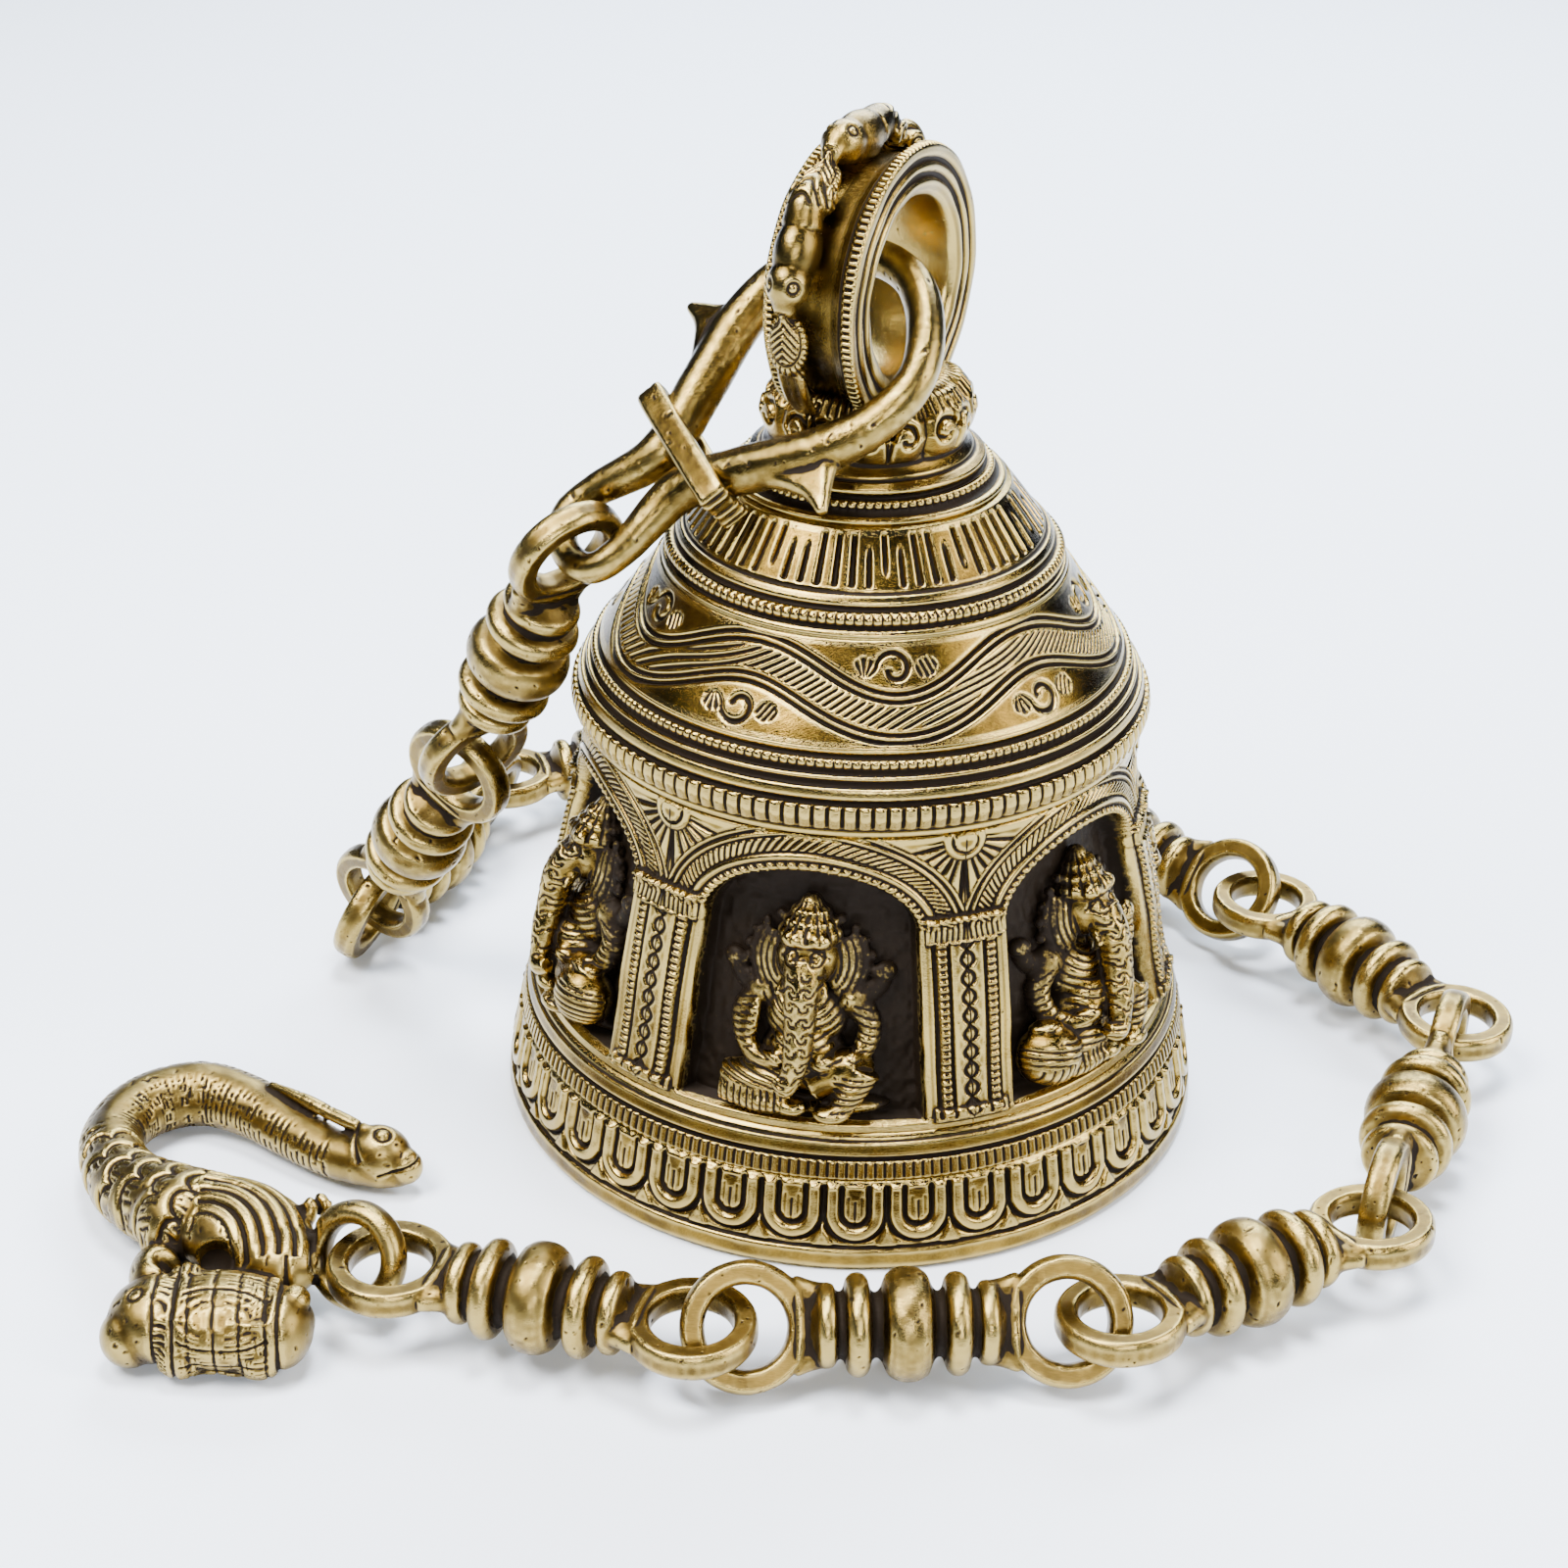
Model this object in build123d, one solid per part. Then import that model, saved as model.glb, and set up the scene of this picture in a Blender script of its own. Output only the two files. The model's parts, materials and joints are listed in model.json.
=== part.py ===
from build123d import *
import os
from math import cos, sin, radians, pi

# Hanging temple bell of cast brass, standing on its foot with its chain laid round it.
# Millimetres, +Z up. The origin is the centre of the foot's lower face, on the bell's axis.

FOOT_RADIUS = 63.5
WALL_AT_FOOT = 5.5
NICHES = 6
FIRST_NICHE_AZIMUTH = -100.2
NICHE_SILL_HALF = 22.0
NICHE_SPRING_HALF = 18.8
NICHE_FLOOR = 25.3
NICHE_SPRING = 56.0
NICHE_CROWN = 66.6
NICHE_DEPTH = 5.5
CROWN_SEAT = 118.4
CROWN_CEILING = 113.5
BOLT_RADIUS = 3.9

RING_RADIUS = 23.0
RING_BORE = 14.5
RING_WIDTH = 16.0
RING_CENTRE = 152.0
RING_AZIMUTH = -28.0
TENON_LENGTH = 12.4
TENON_WIDTH = 9.0
TENON_FOOT = 127.0

EYE_OUTER = 10.5
EYE_INNER = 6.5
EYE_MID = (EYE_OUTER + EYE_INNER) / 2
EYE_WIDTH = 5.0
EYE_ROUNDING = 1.4
EYE_SPACING = 51.0
CHAIN_HEIGHT = 10.6

STANDING = (Align.CENTER, Align.CENTER, Align.MIN)

CLAPPER_PIVOT = 100.05
CLAPPER_BALL = 10.5
CLAPPER_BALL_HEIGHT = 19.0

SHACKLE_ROD = 3.2
SHACKLE_EYE_ROD = 2.7
SHACKLE_EYE = 6.6
SHACKLE_BAR = 45.5
THORN_FOOT = (30.0, 13.6)
THORN_TIP = (32.8, 26.4)
THORN_RADII = (3.4, 1.2)
BAND_WIDTH = 5.0
BAND_INNER = (22.6, 6.56)
BAND_OUTER = (26.2, 10.2)
BOW_CENTRE = Vector(6.4, -4.2, 153.2)
BOW_ACROSS = Vector(0.41, -0.84, -0.36)

HOOK_EYE_OUTER = 8.4
HOOK_EYE_INNER = 5.2
HOOK_EYE_WIDTH = 4.4
HOOK_EYE_ROLL = -66.0
HOOK_HEADING = 152.0


def direction(azimuth, elevation=0.0):
    """Unit vector at a compass angle from +X towards +Y and an angle above the floor."""
    flat = cos(radians(elevation))
    return Vector(flat * cos(radians(azimuth)), flat * sin(radians(azimuth)), sin(radians(elevation)))


def ball(x, y, z, radius):
    return Pos(x, y, z) * Sphere(radius)


def egg(centre, radii, azimuth=0.0, tilt=0.0, roll=0.0):
    """Ellipsoid: three half-lengths, turned about its own axes and set at a centre."""
    shape = scale(Sphere(1.0), by=radii)
    return Pos(*centre) * Rot(0, 0, azimuth) * Rot(0, tilt, 0) * Rot(roll, 0, 0) * shape


def rod_between(start, end, r_start, r_end):
    """Tapered round rod from one point to another."""
    a = Vector(*start)
    b = Vector(*end)
    length = (b - a).length
    plane = Plane(origin=a, z_dir=(b - a))
    if abs(r_start - r_end) < 1e-6:
        body = Cylinder(r_start, length, align=STANDING)
    else:
        body = Cone(r_start, r_end, length, align=STANDING)
    return plane.location * body


def turned(points):
    """Solid of revolution about Z from (radius, height) points joined by straight lines."""
    outline = Polyline(*[(r, 0, z) for r, z in points], close=True)
    return revolve(make_face(outline), Axis.Z)


# ---------------------------------------------------------------- bell
def wall_points():
    """Outside of the cast bell from the foot to the crown seat."""
    return [
        (FOOT_RADIUS - 1.0, 0.0), (FOOT_RADIUS, 0.8), (63.3, 3.6), (62.6, 4.2),
        (60.3, 15.4), (60.0, 16.2),
        (60.9, 16.6), (59.9, 19.7), (59.2, 20.2),
        (59.6, 20.7), (58.9, 23.0), (57.6, 23.8),
        (55.3, 33.7), (53.9, 42.0), (52.3, 49.0), (50.0, 58.0), (48.9, 66.0), (48.2, 74.6),
        (49.0, 75.3), (49.0, 76.6), (49.5, 77.0), (50.1, 79.4), (49.7, 81.5),
        (48.9, 81.9), (49.3, 82.4), (48.9, 83.9), (48.2, 84.5), (47.2, 84.7),
        (47.9, 85.2), (47.2, 86.1), (46.2, 86.4), (46.8, 86.9), (46.2, 88.0), (45.3, 88.3),
        (45.2, 89.6), (43.4, 92.0), (40.6, 95.6), (37.9, 99.2), (35.5, 102.8), (34.5, 103.4),
        (34.7, 104.1), (33.9, 105.2), (33.4, 105.5), (33.7, 106.5), (32.9, 107.7), (32.0, 108.1),
        (32.2, 108.8), (31.2, 110.0), (30.2, 110.4), (27.6, 114.2), (24.3, CROWN_SEAT),
    ]


def inner_points():
    """Inside of the cast bell from the foot to the flat crown ceiling."""
    return [
        (FOOT_RADIUS - WALL_AT_FOOT, 0.0), (57.0, 6.0), (54.0, 14.0), (50.0, 22.0), (48.4, 27.0),
        (46.0, 40.0), (43.5, 52.0), (41.0, 66.0), (40.4, 76.0), (39.2, 84.0), (35.8, 91.0),
        (31.2, 98.0), (28.0, 104.0), (23.0, 109.5), (16.0, CROWN_CEILING),
    ]


def wall_radius(height):
    """Radius of the arcade wall at a height, measured on the pillars."""
    points = [(57.6, 23.8), (55.3, 33.7), (53.9, 42.0), (52.3, 49.0), (50.0, 58.0), (48.9, 66.0), (48.2, 74.6)]
    for (r0, z0), (r1, z1) in zip(points[:-1], points[1:]):
        if height <= z1:
            return r0 + (r1 - r0) * (height - z0) / (z1 - z0)
    return points[-1][0]


def niche_cutter():
    """One round-headed niche, facing +X, open outwards, with its back following the wall."""
    jambs = Polyline(
        (NICHE_SPRING_HALF, NICHE_SPRING), (NICHE_SILL_HALF, NICHE_FLOOR),
        (-NICHE_SILL_HALF, NICHE_FLOOR), (-NICHE_SPRING_HALF, NICHE_SPRING),
    )
    rise = NICHE_CROWN - NICHE_SPRING
    arch = EllipticalCenterArc((0, NICHE_SPRING), NICHE_SPRING_HALF, rise, start_angle=0, arc_size=180)
    prism = extrude(Plane.YZ * make_face([jambs, arch]), amount=90)
    back = [(0, NICHE_FLOOR - 5), (wall_radius(24.0) - NICHE_DEPTH, NICHE_FLOOR - 5)]
    for height in (24.0, 42.0, 58.0, 74.0):
        back.append((wall_radius(height) - NICHE_DEPTH, height))
    back.append((0, 74.0))
    return prism - turned(back)


def seated_figure(turn):
    """Elephant-headed seated figure in high relief, facing +X, its back sunk in the niche wall."""
    base = wall_radius(28.0) - NICHE_DEPTH
    mid = wall_radius(45.0) - NICHE_DEPTH
    top = wall_radius(58.0) - NICHE_DEPTH
    side = 2.2 * turn
    figure = ball(base - 1.0, 0, 34.0, 8.6)
    figure = figure + ball(mid - 1.6, 0, 42.8, 7.8)
    figure = figure + ball(mid + 0.6, side, 52.4, 5.8)
    figure = figure + rod_between((top + 1.0, side, 55.0), (top + 1.0, side, 63.2), 4.6, 1.6)
    figure = figure + rod_between((mid + 3.4, side, 51.6), (base + 6.4, side, 32.6), 3.0, 1.8)
    for hand in (-1, 1):
        figure = figure + ball(mid - 1.2, side + 6.4 * hand, 51.2, 4.0)
        figure = figure + rod_between((mid, 8.4 * hand, 47.4), (mid + 1.2, 11.4 * hand, 38.6), 3.2, 2.4)
        figure = figure + rod_between((mid + 1.2, 11.4 * hand, 38.6), (base + 4.4, 3.4 * hand, 35.0), 2.4, 2.2)
        figure = figure + rod_between((base, 4.0 * hand, 29.6), (base + 1.0, 12.6 * hand, 29.4), 5.0, 3.8)
    return figure


def capital(azimuth):
    """Small cushion block on top of a pillar, and a plinth under it."""
    radius = wall_radius(58.0)
    block = Box(4.0, 14.2, 3.4)
    plinth = Box(4.0, 12.6, 2.0)
    upper = Rot(0, 0, azimuth) * Pos(radius - 1.0, 0, 58.0) * Rot(0, -12, 0) * block
    lower = Rot(0, 0, azimuth) * Pos(wall_radius(25.5) - 1.4, 0, 25.2) * Rot(0, -12, 0) * plinth
    return [upper, lower]


def bell_shell():
    shell = turned([(0, 0)] + wall_points() + [(0, CROWN_SEAT)])
    cutter = niche_cutter()
    for i in range(NICHES):
        shell = shell - Rot(0, 0, FIRST_NICHE_AZIMUTH + i * 60) * cutter
    turns = [0.5, 1, -1, 0.5, 1, -1]
    for i in range(NICHES):
        shell = shell + Rot(0, 0, FIRST_NICHE_AZIMUTH + i * 60) * seated_figure(turns[i])
        for block in capital(FIRST_NICHE_AZIMUTH + 30 + i * 60):
            shell = shell + block
    shell = shell - turned([(0, -5), (FOOT_RADIUS - WALL_AT_FOOT, -5)] + inner_points() + [(0, CROWN_CEILING)])
    return shell - Pos(0, 0, CROWN_SEAT) * Cylinder(BOLT_RADIUS + 0.1, 20)


# ---------------------------------------------------------------- crown
def crown_collar():
    """Lotus collar: flange, bead ring, neck and a cluster of scrolls, drilled for the eye bolt."""
    body = turned([
        (0, CROWN_SEAT), (23.3, CROWN_SEAT), (23.6, 119.2), (22.4, 120.0), (20.8, 120.3), (20.9, 121.6),
        (19.6, 122.0), (19.9, 123.2), (18.0, 124.0), (16.6, 125.4), (16.2, 127.0), (15.6, 135.0), (12.6, 137.6),
        (0, 137.6),
    ])
    for i in range(8):
        body = body + Rot(0, 0, 22.5 + 45 * i) * ball(13.3, 0, 131.2, 5.3)
    body = body - Cylinder(BOLT_RADIUS, 12.0, align=STANDING).moved(Location((0, 0, 117)))
    seat = Pos(0, 0, RING_CENTRE) * Rot(0, 0, RING_AZIMUTH) * Rot(0, 90, 0) * Cylinder(RING_RADIUS + 0.02, 60)
    socket = Box(TENON_LENGTH + 0.04, TENON_WIDTH + 0.04, 20, align=STANDING)
    socket = Pos(0, 0, TENON_FOOT) * Rot(0, 0, RING_AZIMUTH) * socket
    return body - seat - socket


def ring_profile():
    half = RING_WIDTH / 2
    return [
        (RING_BORE + 0.5, -half + 1.6), (RING_BORE + 1.8, -half + 0.4), (17.4, -half),
        (17.9, -half + 0.6), (18.6, -half + 0.6),
        (19.1, -half), (RING_RADIUS - 0.4, -half), (RING_RADIUS, -half + 0.4), (RING_RADIUS, -half + 3.0),
        (RING_RADIUS - 0.6, -half + 3.4), (19.6, -half + 4.4), (19.0, -half + 5.6),
        (19.0, half - 5.6), (19.6, half - 4.4), (RING_RADIUS - 0.6, half - 3.4),
        (RING_RADIUS, half - 3.0), (RING_RADIUS, half - 0.4), (RING_RADIUS - 0.4, half), (19.1, half),
        (18.6, half - 0.6), (17.9, half - 0.6), (17.4, half),
        (RING_BORE + 1.8, half - 0.4), (RING_BORE + 0.5, half - 1.6),
        (RING_BORE, half - 4.0), (RING_BORE, -half + 4.0),
    ]


def bird_and_leaf(angle, flip):
    """Perched bird with a leaf at its breast, in the ring's groove at an angle round the ring."""
    reach = RING_RADIUS - 1.0
    turn = Rot(angle, 0, 0)
    return [
        turn * ball(0, 0, reach + 0.3, 4.3),
        turn * ball(0, 5.2 * flip, reach + 3.1, 3.1),
        turn * rod_between((0, -2.6 * flip, reach + 0.1), (0, -9.8 * flip, reach + 1.3), 3.3, 1.5),
        turn * ball(0, 12.4 * flip, reach - 4.2, 3.7),
    ]


def suspension_ring():
    """Double-flanged ring with its square tenon; the bore lies level, across the bell's axis."""
    ring = Rot(0, 90, 0) * turned(ring_profile())
    tenon = Pos(0, 0, TENON_FOOT - RING_CENTRE) * Box(TENON_LENGTH, TENON_WIDTH, 8.0, align=STANDING)
    ring = ring + tenon
    for angle, flip in ((3, -1), (65, -1), (-59, 1)):
        for lump in bird_and_leaf(angle, flip):
            ring = ring + lump
    return Pos(0, 0, RING_CENTRE) * Rot(0, 0, RING_AZIMUTH) * ring


def eye_bolt():
    shank = Pos(0, 0, 104.6) * Cylinder(BOLT_RADIUS - 0.03, 22.0, align=STANDING)
    eye = Pos(0, 0, 101.4) * Rot(0, 90, 0) * Torus(4.4, 1.4)
    return shank + eye


def crown_washer():
    ring = Pos(0, 0, CROWN_CEILING - 0.85) * Cylinder(9.0, 1.6)
    return ring - Pos(0, 0, CROWN_CEILING - 1) * Cylinder(BOLT_RADIUS + 0.1, 6)


def crown_nut():
    height = 5.0
    nut = Pos(0, 0, CROWN_CEILING - 1.7 - height) * extrude(RegularPolygon(7.4, 6), amount=height)
    return nut - Pos(0, 0, CROWN_CEILING - 4) * Cylinder(BOLT_RADIUS + 0.01, 16)


# ---------------------------------------------------------------- clapper
def clapper_rod():
    loop = Pos(0, 0, CLAPPER_PIVOT - 4.8) * Rot(90, 0, 0) * Torus(4.8, 1.4)
    rod = rod_between((0, 0, CLAPPER_PIVOT - 9.4), (0, 0, 30.0), 2.3, 3.0)
    tip = rod_between((0, 0, 30.0), (0, 0, 8.0), 3.0, 3.0)
    flight = Pos(0, 0, 6.7) * Cylinder(4.2, 2.8)
    return loop + rod + tip + flight


def clapper_ball():
    sphere = Pos(0, 0, CLAPPER_BALL_HEIGHT) * Sphere(CLAPPER_BALL)
    return sphere - Pos(0, 0, CLAPPER_BALL_HEIGHT) * Cylinder(3.02, 40)


# ---------------------------------------------------------------- chain link
def bead(position, half_width, radius, waist):
    """One turned bead as three arcs' worth of outline points along the link's axis."""
    return [
        (position - half_width, waist), (position - half_width * 0.8, radius - (radius - waist) * 0.42),
        (position - half_width * 0.42, radius - (radius - waist) * 0.08), (position, radius),
        (position + half_width * 0.42, radius - (radius - waist) * 0.08),
        (position + half_width * 0.8, radius - (radius - waist) * 0.42), (position + half_width, waist),
    ]


def chain_link():
    """Five turned beads on a spindle between two flat round eyes; axis X, eyes in the XY plane."""
    waist = 6.0
    outline = [(-15.8, 0.0), (-15.8, 5.0)]
    for position, half_width, radius in (
        (-12.9, 1.9, 6.7), (-7.9, 2.4, 8.2), (0.0, 4.4, 9.2), (7.9, 2.4, 8.2), (12.9, 1.9, 6.7)
    ):
        outline = outline + bead(position, half_width, radius, waist)
    outline = outline + [(15.8, 5.0), (15.8, 0.0)]
    link = revolve(make_face(Polyline(*outline, close=True)), Axis.X)
    strap = EYE_OUTER - EYE_INNER
    section = Plane.XZ * Pos(EYE_MID, 0) * RectangleRounded(strap, EYE_WIDTH, EYE_ROUNDING)
    eye = revolve(section, Axis.Z)
    for side in (-1, 1):
        link = link + Pos(side * EYE_SPACING / 2, 0, 0) * eye
        root = side * 13.6
        edge = side * (EYE_SPACING / 2 - EYE_INNER - 0.1)
        shoulder = make_face(Polyline((root, -5.6), (root, 5.6), (edge, 7.9), (edge, -7.9), close=True))
        link = link + Pos(0, 0, 0.4 - EYE_WIDTH / 2) * extrude(shoulder, amount=EYE_WIDTH - 0.8, dir=(0, 0, 1))
    return link


def link_frames():
    """Place each link: start from the shackle's eye, then follow headings round the bell.

    Each row: compass heading, slope, roll of the eye plane, and how far the strap of this link's
    first eye stands from the joint before it and the next joint from its second eye.
    """
    rows = [
        (141.3, -61.9, 10.0, 0.0, 0.0),
        (128.0, -51.9, 68.0, EYE_MID, EYE_MID),
        (69.0, 0.0, 112.0, 0.0, EYE_MID),
        (17.8, 0.0, 0.0, 0.0, 0.0),
        (-20.5, 0.0, -58.0, EYE_MID, EYE_MID),
        (-42.2, 0.0, 52.0, 0.0, EYE_MID),
        (-54.8, 0.0, 0.0, 0.0, 0.0),
        (-113.2, 0.0, 90.0, EYE_MID, EYE_MID),
        (-150.4, 0.0, 6.0, 0.0, 0.0),
        (-176.9, 0.0, -55.0, EYE_MID, EYE_MID),
        (164.6, 0.0, 0.0, 0.0, 0.0),
    ]
    drop = EYE_SPACING * sin(radians(61.9)) + (EYE_SPACING + 2 * EYE_MID) * sin(radians(51.9))
    joint = Vector(-49.6, -14.2, CHAIN_HEIGHT + drop)
    joints = [joint]
    frames = []
    for heading, slope, roll, before, after in rows:
        along = direction(heading, slope)
        level = Vector(sin(radians(heading)), -cos(radians(heading)), 0)
        upward = level.cross(along)
        normal = upward * cos(radians(roll)) + level * sin(radians(roll))
        centre = joint + along * (before + EYE_SPACING / 2)
        frames.append(Plane(origin=centre, x_dir=along, z_dir=normal))
        joint = joint + along * (before + EYE_SPACING + after)
        joints.append(joint)
    return frames, joints


# ---------------------------------------------------------------- shackle
def shackle_frame(first_joint):
    """Plane of the shackle: local X runs from the bow to the eye, local Y across the arms."""
    along = (first_joint - BOW_CENTRE).normalized()
    across = (BOW_ACROSS - along * BOW_ACROSS.dot(along)).normalized()
    reach = (first_joint - BOW_CENTRE).length
    return Plane(origin=BOW_CENTRE, x_dir=along, z_dir=along.cross(across)), reach


def arm_path(reach, side):
    """Centre line of one arm from the top of the bow round to the far end of the eye."""
    eye_centre = reach - SHACKLE_EYE
    points = [
        (0, 0), (2.4, 9.0 * side), (8.5, 16.6 * side), (17.5, 18.6 * side), (27.5, 16.2 * side),
        (38.5, 10.2 * side), (SHACKLE_BAR + 4.5, 4.6 * side), (eye_centre - 2.0, 7.0 * side),
        (eye_centre + 4.4, 5.9 * side), (reach, 0),
    ]
    return Spline(*points, tangents=[(0, side), (0, -side)])


def shackle(plane, reach):
    """Bent rod: stout arms, each with a thorn, and a slimmer eye beyond the band."""
    fork = None
    for side in (-1, 1):
        path = arm_path(reach, side)
        bar = 0.62
        stout = path.trim(0.0, bar)
        slim = path.trim(bar, 1.0)
        arm = sweep(Plane(origin=stout @ 0, z_dir=stout % 0) * Circle(SHACKLE_ROD), path=stout)
        arm = arm + sweep(Plane(origin=slim @ 0, z_dir=slim % 0) * Circle(SHACKLE_EYE_ROD), path=slim)
        foot = (THORN_FOOT[0], THORN_FOOT[1] * side, 0)
        tip = (THORN_TIP[0], THORN_TIP[1] * side, 0)
        arm = arm + rod_between(foot, tip, *THORN_RADII)
        fork = arm if fork is None else fork + arm
    return plane.location * fork


def shackle_band(plane):
    """Flat band clasped round both arms."""
    inner = extrude(SlotOverall(*BAND_INNER), amount=BAND_WIDTH)
    outer = extrude(SlotOverall(*BAND_OUTER), amount=BAND_WIDTH)
    stand = Plane(origin=(SHACKLE_BAR - BAND_WIDTH / 2, 0, 0), x_dir=(0, 1, 0), z_dir=(1, 0, 0))
    return plane.location * (stand.location * (outer - inner))


# ---------------------------------------------------------------- hook
def bird_neck():
    """Swan-like neck and body of the hook, lying flat: round sections along a bent centre line."""
    stations = [
        (-93.5, -70.4, 5.8), (-104.0, -64.2, 8.0), (-114.7, -60.0, 7.8), (-123.2, -54.0, 6.9), (-128.8, -45.4, 6.0),
        (-130.6, -35.4, 5.6), (-126.2, -26.8, 5.8), (-117.1, -23.4, 6.0), (-107.6, -26.6, 5.6), (-98.9, -33.4, 4.9),
        (-91.0, -39.0, 4.4), (-84.4, -41.6, 4.6), (-79.4, -42.9, 3.4), (-76.2, -43.6, 1.4),
    ]
    sections = []
    for i, (x, y, r) in enumerate(stations):
        before = stations[max(i - 1, 0)]
        after = stations[min(i + 1, len(stations) - 1)]
        heading = Vector(after[0] - before[0], after[1] - before[1], 0)
        plane = Plane(origin=(x, y, max(r, 2.6) + 0.3), x_dir=(0, 0, 1), z_dir=heading)
        sections.append(plane * Circle(r))
    return loft(sections)


def hook(last_joint):
    solid = bird_neck() + egg((-100.0, -68.0, 8.7), (13.0, 9.0, 8.2), -35)
    solid = solid + egg((-84.6, -41.3, 5.4), (5.0, 4.6, 4.9), -12)
    solid = solid + egg((-90.6, -65.6, 11.0), (3.4, 2.2, 2.6), -35)
    solid = solid + egg((-119.5, -62.0, 7.5), (6.5, 6.0, 7.0), 40)
    solid = solid + egg((-101.8, -78.4, 7.2), (9.0, 7.6, 6.2))
    body = Pos(-100.6, -87.6, 6.7) * Rot(0, 0, -4) * Box(24.0, 13.4, 12.6)
    body = fillet(body.edges(), 3.6)
    solid = solid + body
    solid = solid + egg((-114.6, -84.8, 6.9), (6.2, 5.8, 6.3))
    solid = solid + rod_between((-117.0, -88.0, 5.4), (-111.8, -94.0, 3.4), 3.6, 2.2)
    along = direction(HOOK_HEADING)
    centre = last_joint + along * ((HOOK_EYE_OUTER + HOOK_EYE_INNER) / 2)
    level = Vector(sin(radians(HOOK_HEADING)), -cos(radians(HOOK_HEADING)), 0)
    normal = Vector(0, 0, 1) * cos(radians(HOOK_EYE_ROLL)) + level * sin(radians(HOOK_EYE_ROLL))
    eye = Plane(origin=centre, x_dir=along, z_dir=normal)
    strap = HOOK_EYE_OUTER - HOOK_EYE_INNER
    middle = (HOOK_EYE_OUTER + HOOK_EYE_INNER) / 2
    section = Plane.XZ * Pos(middle, 0) * RectangleRounded(strap, HOOK_EYE_WIDTH, 1.2)
    solid = solid + eye.location * revolve(section, Axis.Z)
    neck_start = centre + along * (HOOK_EYE_OUTER - 0.6)
    solid = solid + rod_between(tuple(neck_start), (-95.0, -70.2, 8.6), 2.6, 5.0)
    return solid


def main():
    os.makedirs("parts", exist_ok=True)
    frames, joints = link_frames()
    plane, reach = shackle_frame(joints[0])
    parts = {
        "bell_shell": bell_shell(),
        "crown_collar": crown_collar(),
        "suspension_ring": suspension_ring(),
        "eye_bolt": eye_bolt(),
        "crown_washer": crown_washer(),
        "crown_nut": crown_nut(),
        "clapper_rod": clapper_rod(),
        "clapper_ball": clapper_ball(),
        "shackle_fork": shackle(plane, reach),
        "shackle_band": shackle_band(plane),
        "hanging_hook": hook(joints[-1]),
    }
    link = chain_link()
    for i, frame in enumerate(frames):
        parts[f"chain_link_{i + 1:02d}"] = frame.location * link
    for name, shape in parts.items():
        export_step(shape, f"parts/{name}.step")


main()
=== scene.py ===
import json
from math import atan2, cos, hypot, pi, radians, sin

import bmesh
import bpy
import numpy as np
from mathutils import Matrix, Vector


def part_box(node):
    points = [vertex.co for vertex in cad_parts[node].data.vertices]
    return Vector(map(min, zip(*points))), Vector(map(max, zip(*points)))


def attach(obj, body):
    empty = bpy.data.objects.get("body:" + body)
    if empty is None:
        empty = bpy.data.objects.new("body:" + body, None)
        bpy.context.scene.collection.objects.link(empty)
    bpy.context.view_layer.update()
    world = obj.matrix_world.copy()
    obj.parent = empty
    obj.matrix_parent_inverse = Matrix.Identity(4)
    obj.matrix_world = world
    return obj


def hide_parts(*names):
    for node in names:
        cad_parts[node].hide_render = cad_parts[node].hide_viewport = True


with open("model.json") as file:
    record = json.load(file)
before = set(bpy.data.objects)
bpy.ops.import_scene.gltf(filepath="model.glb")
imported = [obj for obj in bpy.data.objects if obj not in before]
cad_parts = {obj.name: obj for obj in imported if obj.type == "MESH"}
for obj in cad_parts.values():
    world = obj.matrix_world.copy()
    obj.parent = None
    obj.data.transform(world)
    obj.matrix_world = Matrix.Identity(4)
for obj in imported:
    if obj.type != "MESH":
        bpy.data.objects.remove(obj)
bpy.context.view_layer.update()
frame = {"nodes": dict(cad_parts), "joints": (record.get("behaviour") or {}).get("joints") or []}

# Looks of a cast brass temple bell. Shapes are worked out in millimetres, then scaled to metres.
MM = 0.001

FIRST_NICHE = -100.2
NICHES = 6
NICHE_STEP = 360 // NICHES
RING_CENTRE = 152.0
RING_AZIMUTH = -28.0
EYE_OUTER = 10.5
EYE_INNER = 6.5
EYE_SPACING = 51.0
LATTICE = 32
WORN_FLAT_AT = 0.03


# ------------------------------------------------------------------ small numeric tools
def smooth_step(value, low, high):
    t = np.clip((value - low) / (high - low), 0.0, 1.0)
    return t * t * (3 - 2 * t)


def groove(distance, width, depth):
    """A soft-edged cut: depth at distance 0, nothing beyond about one and a half widths."""
    return -depth * np.exp(-((distance / (0.5 * width)) ** 2))


def ridge(distance, half_width, height):
    """A round-topped bead with steep sides."""
    t = np.clip(np.abs(distance) / half_width, 0.0, 1.0)
    return height * np.sqrt(1.0 - t ** 2)


def repeat(value, pitch):
    """Distance to the nearest whole multiple of a pitch, signed."""
    return (value / pitch - np.round(value / pitch)) * pitch


def hatch(value, pitch, width, depth):
    """A row of equal cuts, one at every whole multiple of a pitch."""
    return groove(repeat(value, pitch), width, depth)


def between(value, start, full, end, gone):
    """Rises from start to full, stays 1 up to end, and is 0 again from gone onwards."""
    return smooth_step(value, start, full) * smooth_step(value, gone, end)


def cut_lines(value, rows):
    """Cuts at the (level, width, depth) given for each line."""
    return sum(groove(value - level, width, depth) for level, width, depth in rows)


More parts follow.
